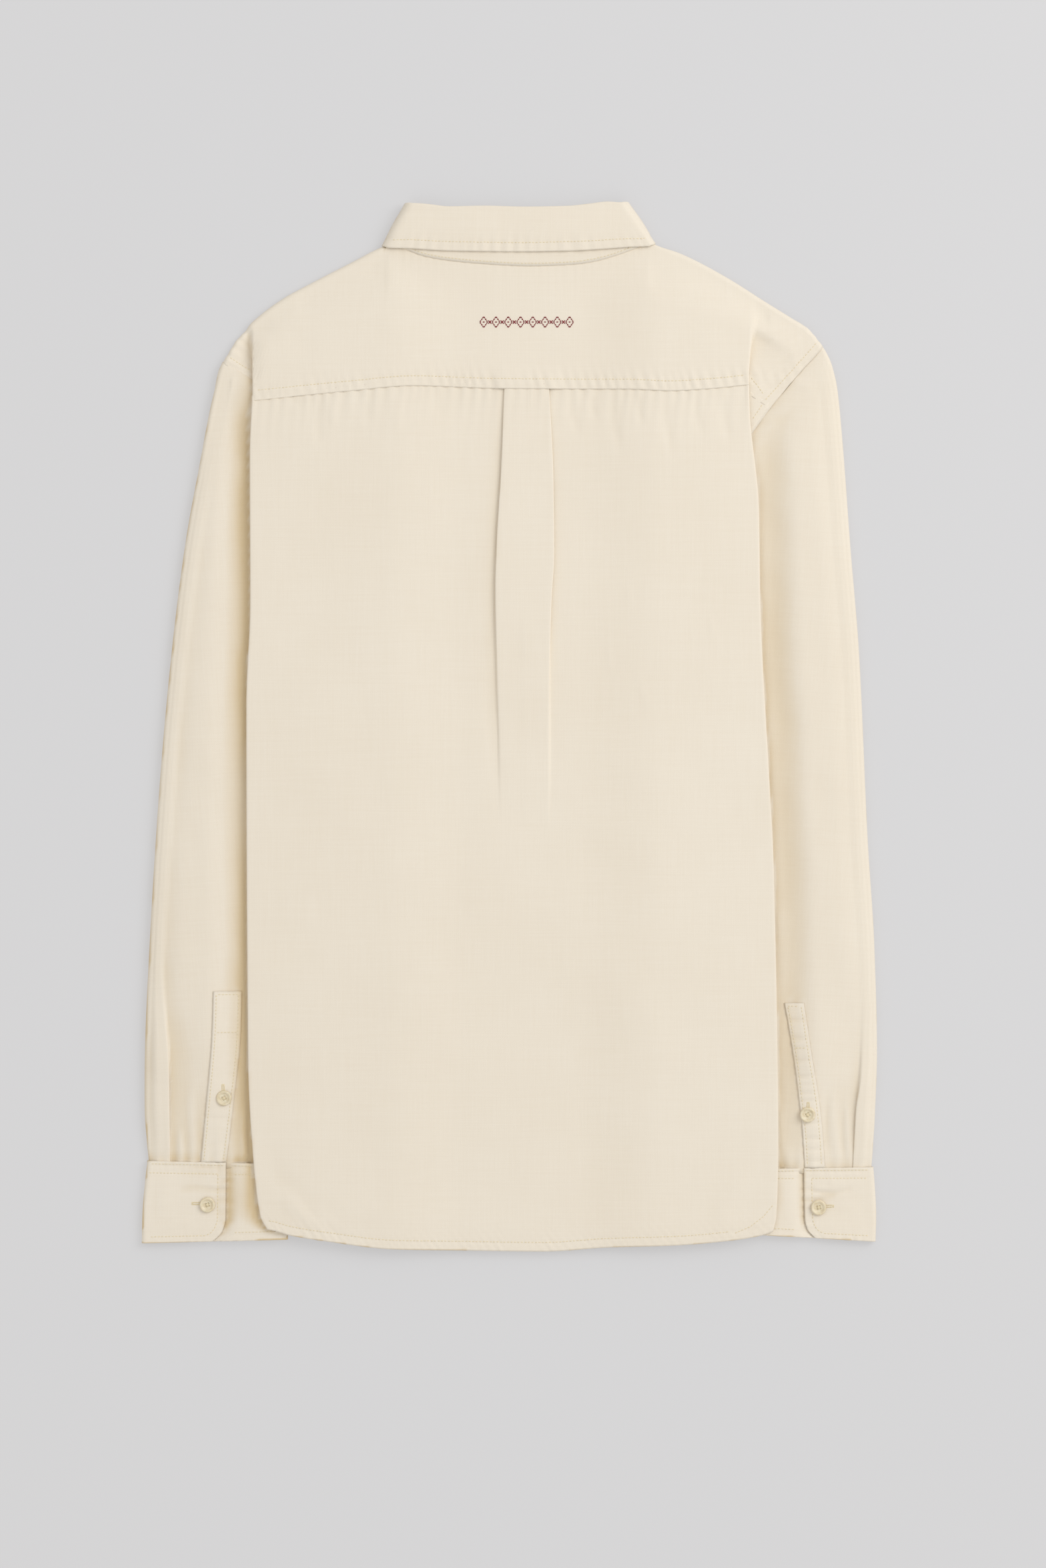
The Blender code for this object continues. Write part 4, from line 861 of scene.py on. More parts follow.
strip = {
    "cut": {left: (0.021, 0.129), right: (0.0152, 0.126)},  # width and length, in metres
    # height, inner and outer edge
    "edges": {
        left: [(-198.5, 200.1, 221.1), (-228, 200.9, 221.9), (-288, 206.9, 227.0), (-326.4, 211.7, 230.8)],
        right: [(-207.3, 205.8, 220.2), (-227, 209.3, 223.1), (-254, 213.5, 227.2), (-275, 216.1, 230.8),
                (-302, 219.2, 234.0), (-330.6, 221.0, 236.1)],
    },
    "wall": 0.55,
    "above": 0.95,  # its middle over the middle of the sleeve's upper layer
    "puckerPitch": 6.0,
    "puckerHeight": 0.2,
    "creases": {
        left: [(-196, -233, -226, -231, 1.4, -0.35), (-197, -262, -228, -264, 2.2, -0.25),
               (-202, -297, -230, -293, 1.8, -0.4), (-205, -312, -234, -316, 1.6, -0.4)],
        right: [(202, -219.4, 226, -220, 1.5, -0.75), (205, -232.6, 229, -234, 1.5, -0.8),
                (206, -241, 230, -241.4, 1.0, -0.4), (208, -250.4, 231, -249.6, 1.3, -0.85),
                (209, -262.4, 233, -261.6, 1.4, -0.85), (211, -268.5, 234, -268, 1.2, -0.5),
                (211, -273.6, 235, -274.6, 1.3, -0.75), (212, -280.4, 236, -279.4, 1.2, -0.7),
                (215, -297.2, 239, -296.2, 1.4, -0.7), (215, -308.6, 240, -308.0, 1.3, -0.85),
                (216, -316.6, 241, -316, 1.3, -0.8), (216, -324.4, 241, -325.8, 1.2, -0.5)],
    },
    "puff": {left: 0.2, right: 0.5},
    "rows": 74,
    "columns": 15,
    "stitchInset": 2.3,
    "boxStitch": {left: -229.2, right: -240.8},  # height of the row across it
}


def tipOf(side, height):
    return column(torso["backFolds"][side], 1, height)


def lowerLevel(side, out, height):
    lift = smooth(sleeve["frontBand"][1], sleeve["frontBand"][0], height)
    outside = smooth(*sleeve["shade"], out - tipOf(side, height))
    return levels["front"] + (levels["lowerSleeve"] - levels["front"]) * lift * (1 - outside)


def upperLevel(side, out, height):
    beyond = out - tipOf(side, height)
    within = column(sleeve["outlines"][side], 1, height) - out
    loft = sleeve["loft"] * smooth(8, 30, beyond) * smooth(0, 25, within)
    loft = loft * (1 - 0.8 * smooth(-165, -245, height) * smooth(46, 18, within))  # pressed flat by the pleat
    down = smooth(-240, -326, height) * smooth(2, 20, beyond)
    valley = sleeve["valley"] * smooth(-8, 2, beyond) * smooth(34, 6, beyond) * smooth(270, 225, height)
    return levels["upperSleeve"] + (loft - valley) * (1 - down) - 1.2 * down


def sleeveLine(side, share, count):
    holes = torso["armholes"][side]
    innerTop = np.array([holes[-1][1], underarm])
    innerEnd = np.array([sleeve["inner"], cuff["top"][side][0]])
    outline = sleeve["outlines"][side]
    outerHeight = mix(outline[0][0], cuff["top"][side][1], share)
    radius = (levels["upperSleeve"] - levels["front"]) / 2
    outer = np.array([float(column(outline, 1, outerHeight)) - cloth["wall"] / 2 - radius, outerHeight])
    atShoulder = float(smooth(0.02, 0, share))
    shoulder = np.array([holes[0][1], holes[0][0]])
    direction = mix(np.array([1.0, 0.0]), np.array(yoke["normals"][side]), atShoulder)
    inner = mix(innerTop, innerEnd, share)
    outer = mix(outer, shoulder, atShoulder)
    across = np.linspace(0, 1, count)
    heights = mix(underarm, holes[0][0], across)
    rows = holes[::-1]
    seam = np.column_stack([np.interp(heights, *zip(*rows)), heights])
    straight = mix(seam[0], seam[-1], across[:, None])
    line = mix(inner, outer, across[:, None]) + (1 - share) ** 3 * (seam - straight)
    return line, direction


def sleeveLift(side, x, y, fromSeam, toCuff):
    out = side * x
    puckers = ripple(y - 0.4 * out, sleeve["armholePitch"], 71 + side) * fade(fromSeam, 0, 9.0)
    gathers = ripple(out, sleeve["cuffPitch"], 83 + side) * fade(toCuff, 0, 16.0)
    lift = sleeve["armholeHeight"] * puckers + sleeve["cuffHeight"] * gathers
    lift = lift + creases(x, y, sleeve["creases"][side])
    waves = 0.5 * driftOver(x, y * 0.35, 38, 91 + side) + 0.22 * driftOver(x + 0.5 * y, y, 21, 95 + side)
    return lift + waves * smooth(0, 30, fromSeam) * smooth(0, 30, toCuff)


def sleeveUpper(side, share, line):
    pleats = sleeve["pleats"][side]
    tipHeight = line[-1, 1]
    turn = float(column(pleats, 3, tipHeight))
    turned = float(smooth(168, 180, turn))
    depth = mix(0.3, float(column(pleats, 2, tipHeight)), turned)
    fromSeam = share * sleeve["fromSeam"]
    toCuff = (1 - share) * sleeve["toCuff"]
    radius = mix(sleeve["pressedRadius"], sleeve["pleatRadius"], float(smooth(0, 40, toCuff)))
    fold = foldPath(turn, depth, radius, steps=6, straight=4)
    tip = min(float(column(pleats, 1, tipHeight)), line[-1, 0] - 6)
    foldOut = tip - fold[:, 0]
    outerOut = np.linspace(line[-1, 0], foldOut[0], 9)[:-1]
    count = sleeve["upperColumns"]
    even = np.linspace(foldOut[-1], line[0, 0], count + 1)[1:]
    across = np.linspace(1, 0, count + 1)[1:]
    own = np.interp(across, np.linspace(0, 1, len(line)), line[:, 0])
    own = np.minimum(own, even)
    innerOut = mix(own, even, float(smooth(0, 0.3, share)))
    out = np.concatenate([outerOut, foldOut, innerOut])
    height = np.interp(out, line[:, 0], line[:, 1])
    level = mix(levels["upperSleeve"], upperLevel(side, out, height), float(smooth(0, 30, fromSeam)))
    first = len(outerOut)
    last = first + len(fold)
    before = level[first]
    level[first:last] = level[last - 1] + fold[:, 1] - fold[-1, 1]
    step = level[first] - level[last - 1]
    shares = smooth(0, 0.5, np.linspace(0, 1, first))
    level[:first] = mix(level[:first] + (level[first] - before) * shares,
                        mix(level[0], level[first], shares), float(smooth(60, 150, turn)))
    pressed = step * float(smooth(30, 0, toCuff))
    level[:last] -= pressed
    level[last:] -= pressed * bell(out[last:], out[last - 1], 16)
    # below the armhole's edge, and below the cuff's
    atHole = smooth(9.0, 0.0, fromSeam) * cloth["seamDrop"] * 1.5
    atCuff = smooth(9.0, 0.0, toCuff) * sleeve["cuffDrop"]
    level = level - atHole - atCuff
    level[-1] = levels["seamBack"]
    lift = sleeveLift(side, side * out, height, fromSeam, toCuff)
    takes = smooth(0, 14, out[0] - out) * smooth(0, 10, out - out[-1])
    takes[first + 3 : last - 4] *= 1 - float(smooth(25, 110, turn))
    flapped = out < tipOf(side, height) + 1.5  # under the torso nothing shows
    takes = np.where(flapped, 0.0, takes) if share > 0.12 else takes * np.where(flapped, 0.3, 1)
    return np.column_stack([out, height, level + np.clip(lift, -0.9, 1.6) * takes])


def sleeveRow(side, share):
    line, direction = sleeveLine(side, share, sleeve["lowerColumns"])
    low = lowerLevel(side, line[:, 0], line[:, 1])
    low[0] = levels["seamFront"]
    fine, _ = sleeveLine(side, share, 200)
    upper = sleeveUpper(side, share, fine)
    high = upper[0, 2]
    outer = line[-1]
    middle = (low[-1] + high) / 2
    radius = (high - low[-1]) / 2
    ring = [np.column_stack([line, low])]
    for angle in np.radians(np.linspace(-90, 90, sleeve["arc"] + 2)[1:-1]):
        place = outer + direction * radius * math.cos(angle)
        ring.append(np.array([[*place, middle + radius * math.sin(angle)]]))
    ring.append(upper)
    ring = np.vstack(ring)
    ring[:, 0] *= side
    return ring


def makeSleeve(side):
    shares = spread((0, 0.03, 12), (0.03, 0.88, 66), (0.88, 1, 30))
    rows = [sleeveRow(side, share) for share in shares]
    beyond = []
    for near, far, length in ((rows[0], rows[1], cloth["seamUnder"]), (rows[-1], rows[-2], 4.0)):
        way = near[:, :2] - far[:, :2]
        way /= np.linalg.norm(way, axis=1)[:, None]
        row = near.copy()
        row[:, :2] += way * length
        beyond.append(row)
    # the last row slips inside the cuff
    last = beyond[1]
    out = side * last[:, 0]
    inside = smooth(out.max() - 10, out.max(), out)
    last[:, 0] -= side * 2.2 * inside
    last[:, 2] = mix(last[:, 2], 3.0, 0.3 * inside)
    grid = np.array([beyond[0]] + rows + [beyond[1]])
    used = np.ones((grid.shape[0] - 1, grid.shape[1] - 1), bool)
    lower = sleeve["lowerColumns"] + sleeve["arc"]
    used[0, : lower + 2] = False
    used[-1, : sleeve["lowerColumns"]] = False
    name = sideNames[side]
    return makeSheet(name + "Sleeve", grid, cloth["wall"], sleeveCloth[side], used=used,
                     replaces="sleeve_" + name)


def cuffLift(side, x, y, fromEdge, share):
    fromTop = share * cuff["depth"]
    toBottom = cuff["depth"] - fromTop
    pitch, height = cuff["puckerPitch"], cuff["puckerHeight"]
    lift = height * ripple(y, pitch, 101 + side) * fade(fromEdge, 0, 7.0)
    near = fade(toBottom, 0, 4.0) + 0.7 * fade(fromTop, 0, 7.0)
    lift = lift + height * ripple(x + 0.3 * y, pitch, 107 + side) * near
    lift = lift + 0.42 * bell(fromTop, 0.9, 0.9)  # a ridge along the top, held by the stitching
    lift = lift - 0.45 * bell(fromTop, 2.8, 0.8)
    for distance, stitched in ((toBottom, 4.2), (fromTop, 8.2), (fromEdge, 5.6)):
        lift = lift - 0.16 * bell(distance, stitched, 1.0)
    return lift + creases(x, y, cuff["creases"][side]) + 0.35 * driftOver(x, y, 24, 113 + side)


def cuffRow(side, share):
    tops, bottoms = cuff["top"][side], cuff["bottom"][side]
    outerHeight = mix(tops[1], bottoms[1], share)
    wall = cloth["stiffWall"]
    outer = float(column(cuff["outlines"][side], 1, outerHeight)) - wall / 2
    end = float(column(cuff["overlapEnds"][side], 1, share))
    flat, turned = cuff["levels"], cuff["turnedLevels"]
    radius = (flat["overlap"] - flat["bottom"]) / 2
    innerRadius = (turned["underlap"] - turned["bottom"]) / 2
    count = cuff["overlapColumns"]
    overlapOut = np.linspace(end, outer - radius, count)
    overlap = np.column_stack([overlapOut, np.full(count, flat["overlap"])])
    angles = np.radians(np.linspace(0, 180, 11)[1:-1])
    outerArc = np.column_stack([outer - radius + radius * np.sin(angles),
                                flat["bottom"] + radius * (1 + np.cos(angles))])
    inward = np.concatenate([np.linspace(outer - radius, end + 8, 12), np.linspace(end + 6, end - 14, 12),
                             np.linspace(end - 18, sleeve["inner"] + innerRadius, 10)])
    raised = 1 - smooth(-12, 6, inward - end)
    bottom = np.column_stack([inward, mix(flat["bottom"], turned["bottom"], raised)])
    innerArc = np.column_stack([sleeve["inner"] + innerRadius - innerRadius * np.sin(angles),
                                turned["bottom"] + innerRadius * (1 - np.cos(angles))])
    outward = np.concatenate([np.linspace(sleeve["inner"] + innerRadius, end - 18, 10),
                              np.linspace(end - 14, end + 6, 12),
                              np.linspace(end + 8, end + cuff["underlapBelow"], cuff["hiddenColumns"])])
    raised = 1 - smooth(-12, 6, outward - end)
    underlap = np.column_stack([outward, mix(flat["underlap"], turned["underlap"], raised)])
    section = np.vstack([overlap, outerArc, bottom, innerArc, underlap])
    across = (section[:, 0] - sleeve["inner"]) / (outer - sleeve["inner"])
    heights = mix(mix(*tops, across), mix(*bottoms, across), share)
    x = side * section[:, 0]
    lift = cuffLift(side, x[:count], heights[:count], overlapOut - end, share)
    section[:count, 1] += np.clip(lift, -0.9, 1) * smooth(0, 10, outer - radius - overlapOut)
    shown = slice(-len(outward), -cuff["hiddenColumns"])
    lift = cuffLift(side, x[shown], heights[shown], 30.0, share)
    takes = smooth(0, 6, section[shown, 0] - sleeve["inner"] - innerRadius)
    section[shown, 1] += np.clip(lift, -0.6, 0.6) * takes
    return np.column_stack([x, heights, section[:, 1]])


def makeCuff(side):
    shares = spread((0, 0.2, 10), (0.2, 0.8, 18), (0.8, 1, 14))
    name = sideNames[side]
    return makeSheet(name + "Cuff", [cuffRow(side, share) for share in shares], cloth["stiffWall"],
                     trimCloth, replaces="cuff_" + name)


def sleeveSurface(side, out, height):  # the upper layer with its creases, for what is sewn onto it
    toCuff = np.maximum(height - cuff["top"][side][1], 0) * 0.86
    lift = np.clip(sleeveLift(side, side * out, height, sleeve["fromSeam"], toCuff), -0.9, 1.6)
    return upperLevel(side, out, height) + lift - smooth(9.0, 0.0, toCuff) * sleeve["cuffDrop"]


def makeSleevePlacket(side):
    rows = strip["edges"][side]
    grid = []
    for height in np.linspace(rows[0][0], rows[-1][0], strip["rows"]):
        inner, outer = (float(column(rows, number, height)) for number in (1, 2))
        out = np.linspace(inner, outer, strip["columns"])
        rim = np.minimum(out - inner, outer - out)
        lift = strip["puckerHeight"] * ripple(height, strip["puckerPitch"], 121 + side) * fade(rim, 0, 3.0)
        lift = lift - 0.14 * bell(rim, 2.4, 0.9)
        lift = lift + creases(side * out, height, strip["creases"][side])
        lift = lift + strip["puff"][side] * smooth(0.3, 3.5, rim)
        level = sleeveSurface(side, out, height) + strip["above"] + np.maximum(lift, -0.3)
        grid.append(np.column_stack([side * out, np.full(len(out), height), level]))
    name = sideNames[side]
    return makeSheet(name + "SleevePlacket", grid, strip["wall"], trimCloth,
                     replaces="sleeve_placket_" + name)


frontPieces = {}
sleevePieces = {}
cuffPieces = {}
placketPieces = {}
for side in (left, right):
    name = sideNames[side]
    rows = [frontRow(side, share) for share in spread((0, 0.35, 44), (0.35, 0.96, 30), (0.96, 1, 4))]
    frontPieces[side] = makeSheet(name + "Front", rows, cloth["wall"], bodyCloth, replaces="front_" + name)
    sleevePieces[side] = makeSleeve(side)
    cuffPieces[side] = makeCuff(side)
    placketPieces[side] = makeSleevePlacket(side)
print("fronts, sleeves, cuffs and sleeve plackets made")

frontPlacketTop = fronts["neck"][0][1] - fronts["gap"]
frontPlacketBottom = float(alongY(torso["hem"], shirtCentre)) + fronts["shorterAtHem"]
placketOut = np.linspace(-fronts["placketWidth"] / 2, fronts["placketWidth"] / 2, fronts["placketColumns"])
placketLevel = levels["placket"] + 0.08 * drift(placketOut, 5, 3)
placketRows = [np.column_stack([shirtCentre + placketOut, np.full(len(placketOut), y), placketLevel])
               for y in np.linspace(frontPlacketTop, frontPlacketBottom, fronts["placketRows"])]
frontPlacket = makeSheet("frontPlacket", placketRows, cloth["wall"], trimCloth,
                         replaces="front_placket")

# The collar: sections from the left front end over the back to the right one

collar = {
    # neck, neck y, fold, fold y, edge, edge y, out from the shirt's centre
    "front": [(0, 273.0, 0, 302, 47, 226), (14, 273.0, 11, 303, 53, 233), (33, 280.5, 26, 312, 63, 250),
              (50, 290.5, 38, 323, 71, 268), (66, 303.5, 49, 337, 80, 290), (89, 331.0, 68, 361, 93, 325)],
    # neck x and y, fold x and y, edge x and y
    "turns": {left: (-86.8, 360.8, -73.0, 389.0, -91.4, 357.2),
              right: (101.8, 360.4, 84.2, 389.6, 105.9, 358.6)},
    "back": [(-76, 355.8, -66, 388.6, -76, 356.8), (-64, 351.3, -58, 387.8, -64, 356.0),
             (-47, 348.2, -45, 386.4, -48, 355.1), (-25, 345.9, -20, 386.9, -22, 354.6),
             (15, 343.8, 12, 386.2, 10, 354.3), (48, 345.0, 44, 386.8, 48, 355.0),
             (64, 347.3, 58, 388.2, 66, 356.0), (84, 353.0, 74, 390.0, 88, 357.6)],
    "backLevels": (7.2, 9.0, 9.2),  # neck, fold and edge
    "frontLevels": (3.25, 3.25, 0.65),
    "roll": 1.3,
    "standShorter": 2.2,
    "overlap": 12.0,
    "overlapRise": 1.4,  # of the stand's right end, over the left one
    "stations": 210,
    "edgePitch": 8.5,
    "edgeHeight": 0.46,
    "stitchFromEdge": 6.8,
}


def atLevels(plan, heights):  # the neck's, fold's and edge's places, each at its own height
    return [np.array([*place, height]) for place, height in zip(np.reshape(plan, (3, 2)), heights)]


def collarSections():
    down, up = np.array([0, 0, -1.0]), np.array([0, 0, 1.0])
    sections = {}
    for side in (left, right):
        rows = []
        for row in collar["front"]:
            plan = np.reshape(row, (3, 2)) * (side, 1) + (shirtCentre, 0)
            plan[0, 1] += fronts["gap"]
            rows.append([*atLevels(plan, collar["frontLevels"]), down])
        # where it turns over from the front to the back
        plan = np.reshape(collar["turns"][side], (3, 2))
        along = plan[1] - plan[0]
        along = along / np.linalg.norm(along)
        outward = side * np.array([along[1], -along[0], 0])
        ways = (outward, np.array([side, 0, 0]), outward)
        for angle in np.radians(np.linspace(-90, 90, 15)):
            points = []
            for place, low, high, way in zip(plan, collar["frontLevels"], collar["backLevels"], ways):
                radius = (high - low) / 2
                centre = np.array([*place, low + radius * (1 + math.sin(angle))])
                points.append(centre + way * radius * math.cos(angle))
            rows.append([*points, outward * math.cos(angle) + up * math.sin(angle)])
        sections[side] = rows
    middle = [[*atLevels(row, collar["backLevels"]), up] for row in collar["back"]]
    rows = np.array(sections[left] + middle + sections[right][::-1])
    steps = sum(np.linalg.norm(np.diff(rows[:, i], axis=0), axis=1) for i in (1, 0))
    at = np.concatenate([[0], np.cumsum(steps)])
    fine = np.linspace(0, at[-1], collar["stations"])
    return [np.stack([curve(at, rows[:, i, j], fine) for j in range(3)], axis=-1) for i in range(4)]


collarNecks, collarFolds, collarEdges, collarFaces = collarSections()
collarUps = collarFolds - collarNecks
collarUps = collarUps / np.linalg.norm(collarUps, axis=1)[:, None]
collarFaces = collarFaces / np.linalg.norm(collarFaces, axis=1)[:, None]


def makeStand():
    grid = []
    for neck, fold, up in zip(collarNecks, collarFolds, collarUps):
        grid.append([mix(neck, fold - up * collar["standShorter"], share) for share in np.linspace(0, 1, 13)])
    grid = np.array(grid)
    grid[-1] += (0, 0, collar["overlapRise"])
    along = np.array([collar["overlap"], 0, 0])
    grid = np.concatenate([[grid[0] + along], grid, [grid[-1] - along]])
    return makeSheet("collarStand", grid, cloth["stiffWall"], trimCloth,
                     replaces="collar_stand")


def makeLeaf():
    grid = []
    radius = collar["roll"]
    for fold, edge, up, face in zip(collarFolds, collarEdges, collarUps, collarFaces):
        centre = fold + face * radius
        row = [centre + radius * (face * math.sin(angle) + up * math.cos(angle))
               for angle in np.radians(np.linspace(-45, 90, 9))]
        start = row[-1]
        length = np.linalg.norm(edge - start)
        for share in np.linspace(0, 1, 27)[1:]:
            point = mix(start, edge, share)
            fromEdge = (1 - share) * length
            wave = ripple(edge[0] * 0.97 + edge[1] * 0.2, collar["edgePitch"], 131) * collar["edgeHeight"]
            lift = wave * fade(fromEdge, collar["stitchFromEdge"], 3.5)
            lift -= 0.2 * bell(fromEdge, collar["stitchFromEdge"], 1.0)
            lift += 0.35 * float(driftOver(point[0], point[1], 26, 137)) * float(smooth(0, 8, share * length))
            lift += 0.5 * math.sin(math.pi * share) ** 2
            point = point + face * lift
            point[2] = max(point[2], cloth["stiffWall"] / 2)
            row.append(point)
        grid.append(row)
    grid = np.array(grid)
    return makeSheet("collarLeaf", grid, cloth["stiffWall"], trimCloth,
                     replaces="collar_leaf")


stand = makeStand()
leaf = makeLeaf()
print("collar made")

# Buttons: a raised rim round a hollow with four holes, and thread crossed over them

button = {
    "radius": 5.7,
    # radius as a share of the whole, height
    "profile": [(0, 1.0), (0.3, 1.0), (0.52, 1.12), (0.64, 1.55), (0.76, 2.05), (0.86, 2.1), (0.94, 1.9),
                (1.0, 1.35)],
    "low": 0.35,
    "holesAt": 1.35,
    "holeRadius": 0.62,
    "holeDepth": 0.6,
    "rings": 26,
    "spokes": 72,
}

resinLook = {
    "Roughness": 0.36,
    "Coat Weight": 0.25,
    "Coat Roughness": 0.15,
    "Subsurface Weight": 0.15,
    "Subsurface Radius": (0.003, 0.0024, 0.0018),
    "Subsurface Scale": 0.4,
}
resinColours = (0.3, (0.70, 0.59, 0.39)), (0.7, (0.84, 0.75, 0.56))

resin, resinNodes, resinLinks = newNodes("buttonResin")
resinShader = resinNodes["Principled BSDF"]
for finish, value in resinLook.items():
    resinShader.inputs[finish].default_value = value
resinPlace = resinNodes.new("ShaderNodeTexCoord")
resinCloud = noiseNode(resinNodes, resinLinks, resinPlace.outputs["Object"], 320, 3)
resinColour = rampNode(resinNodes, resinLinks, resinCloud, *resinColours)
resinLinks.new(resinColour, resinShader.inputs["Base Color"])


def makeButton(name, place, node, turnDegrees=0.0, facesDown=False):
    size = button["radius"]
    spokes = button["spokes"]
    radii = np.linspace(0.02, 1, button["rings"]) * size
    angles = np.linspace(0, 2 * math.pi, spokes, endpoint=False)
    r, a = np.meshgrid(radii, angles, indexing="ij")
    x, y = r * np.cos(a), r * np.sin(a)
    shares, heights = zip(*button["profile"])
    z = curve(shares, heights, r / size)
    for number in range(4):
        angle = math.radians(45 + 90 * number)
        gap = np.hypot(x - button["holesAt"] * math.cos(angle), y - button["holesAt"] * math.sin(angle))
        z = z - button["holeDepth"] * smooth(button["holeRadius"] * 1.35, button["holeRadius"] * 0.75, gap)
    rows = [np.column_stack([x[i], y[i], z[i]]) for i in range(len(radii))]
    for share, height in ((1.0, 0.7), (0.93, button["low"]), (0.02, button["low"])):
        rows.append(np.column_stack([size * share * np.cos(angles), size * share * np.sin(angles),
                                     np.full(spokes, height)]))
    points = np.concatenate(rows)
    turn = math.radians(turnDegrees)
    turned = points.copy()
    turned[:, 0] = points[:, 0] * math.cos(turn) - points[:, 1] * math.sin(turn)
    turned[:, 1] = points[:, 0] * math.sin(turn) + points[:, 1] * math.cos(turn)
    if facesDown:
        turned[:, 1:] *= -1
    turned += place
    index = np.arange(len(points)).reshape(len(rows), spokes)
    ahead = np.roll(index, -1, axis=1)
    faces = np.stack([index[:-1], index[1:], ahead[1:], ahead[:-1]], axis=-1).reshape(-1, 4).tolist()
    faces.append(index[0].tolist())
    faces.append(index[-1][::-1].tolist())
    mesh = bpy.data.meshes.new(name)
    mesh.from_pydata((turned * mm).tolist(), [], faces)
    return placePiece(name, mesh, resin, node)


buttonSpots = {
    "cuff": {left: (225.8, -358.3), right: (231.3, -360.3)},
    "placket": {left: (213.3, -278.3), right: (223.0, -290.8)},
    "cuffTurn": 12,  # degrees
    "placketTurn": 30,
    "frontTurn": 17,  # from one to the next
    "collarTurn": 5,
    "frontHeights": [236.0, 148.0, 60.0, -28.0, -116.0, -204.0],
    "collarHeight": 287.5,
    "over": 0.25,  # what its thread holds it off the cloth
    "underFront": 0.2,
    "underCollar": 0.3,
}
sewnOn = []  # the buttons that show, and how far each is turned
for side in (left, right):
    name = sideNames[side]
    out, height = buttonSpots["cuff"][side]
    level = cuff["levels"]["overlap"] + cloth["stiffWall"] / 2 + buttonSpots["over"]
    turn = buttonSpots["cuffTurn"]
    piece = makeButton(name + "CuffButton", (side * out, height, level), "cuff_button_" + name, turn)
    sewnOn.append((piece, turn))
    out, height = buttonSpots["placket"][side]
    level = float(sleeveSurface(side, np.array(out), np.array(height)))
    level += strip["above"] + strip["wall"] / 2 + buttonSpots["over"]
    turn = buttonSpots["placketTurn"]
    piece = makeButton(name + "PlacketButton", (side * out, height, level), "placket_button_" + name, turn)
    sewnOn.append((piece, turn))
level = levels["placket"] - cloth["wall"] / 2 - buttonSpots["underFront"]
for number, height in enumerate(buttonSpots["frontHeights"], 1):
    makeButton(f"frontButton{number}", (shirtCentre, height, level), f"front_button_{number}",
               buttonSpots["frontTurn"] * number, facesDown=True)
level = collar["frontLevels"][0] - cloth["stiffWall"] / 2 - buttonSpots["underCollar"]
makeButton("collarButton", (shirtCentre, buttonSpots["collarHeight"], level), "collar_button",
           buttonSpots["collarTurn"], facesDown=True)
print("buttons made")

# Painted shade: how deep each place lies beside its neighbours and below the higher cloth on its lit side,
# kept on the meshes to darken and warm the cloth's colour

depthMap = {
    "step": 2.5,
    "low": (-290.0, -405.0),
    "high": (292.5, 407.5),
    "wide": 11.0,
    "narrow": 4.0,
    # towards the light, so the painted shade falls like a cast shadow on the side away from it
    "shadeShift": (6.0, 3.0),
    # painted shade gained from a wide hollow and from a narrow one
    "sleeveShadeGains": (0.26, 0.28),
    "bodyShadeGains": (0.03, 0.10),
    # height, strength of the painted shade along each side
    "along": {left: [(240, 0.6), (150, 1.0), (95, 0.75), (30, 0.95), (-55, 0.5), (-120, 0.75), (-250, 0.95),
                     (-320, 1.2), (-345, 1.6), (-390, 1.8)],
              right: [(240, 0.6), (150, 0.55), (60, 0.75), (-55, 0.75), (-180, 0.6), (-280, 0.55),
                      (-390, 1.1)]},
    "above": 60.0,  # where the rays start, over everything
}


def vertexPlaces(piece):
    places = np.empty(len(piece.data.vertices) * 3, np.float32)
    piece.data.vertices.foreach_get("co", places)
    return places.reshape(-1, 3) / mm


def surfaceTree(*pieces):
    points, faces = [], []
    for piece in pieces:
        base = len(points)
        points.extend(vertexPlaces(piece).tolist())
        corners = np.empty(len(piece.data.loops), np.int32)
        piece.data.loops.foreach_get("vertex_index", corners)
        faces.extend((corners.reshape(-1, 4) + base).tolist())
    return BVHTree.FromPolygons(points, faces)


def dropOn(tree, x, y):
    starts = ((float(a), float(b), depthMap["above"]) for a, b in zip(x, y))
    hits = [tree.ray_cast(start, (0, 0, -1))[0] for start in starts]
    return np.array([np.nan if hit is None else hit.z for hit in hits])


def blurred(values, sigma):
    reach = int(3 * sigma)
    weights = np.exp(-0.5 * (np.arange(-reach, reach + 1) / sigma) ** 2)
    weights /= weights.sum()
    for axis in (0, 1):
        values = np.apply_along_axis(np.convolve, axis, values, weights, mode="same")
    return values


def readMap(values, x, y):
    i = np.clip((x - depthMap["low"][0]) / depthMap["step"], 0, values.shape[0] - 1.001)
    j = np.clip((y - depthMap["low"][1]) / depthMap["step"], 0, values.shape[1] - 1.001)
    i0, j0 = i.astype(int), j.astype(int)
    u, v = i - i0, j - j0
    near = mix(values[i0, j0], values[i0 + 1, j0], u)
    far = mix(values[i0, j0 + 1], values[i0 + 1, j0 + 1], u)
    return mix(near, far, v)


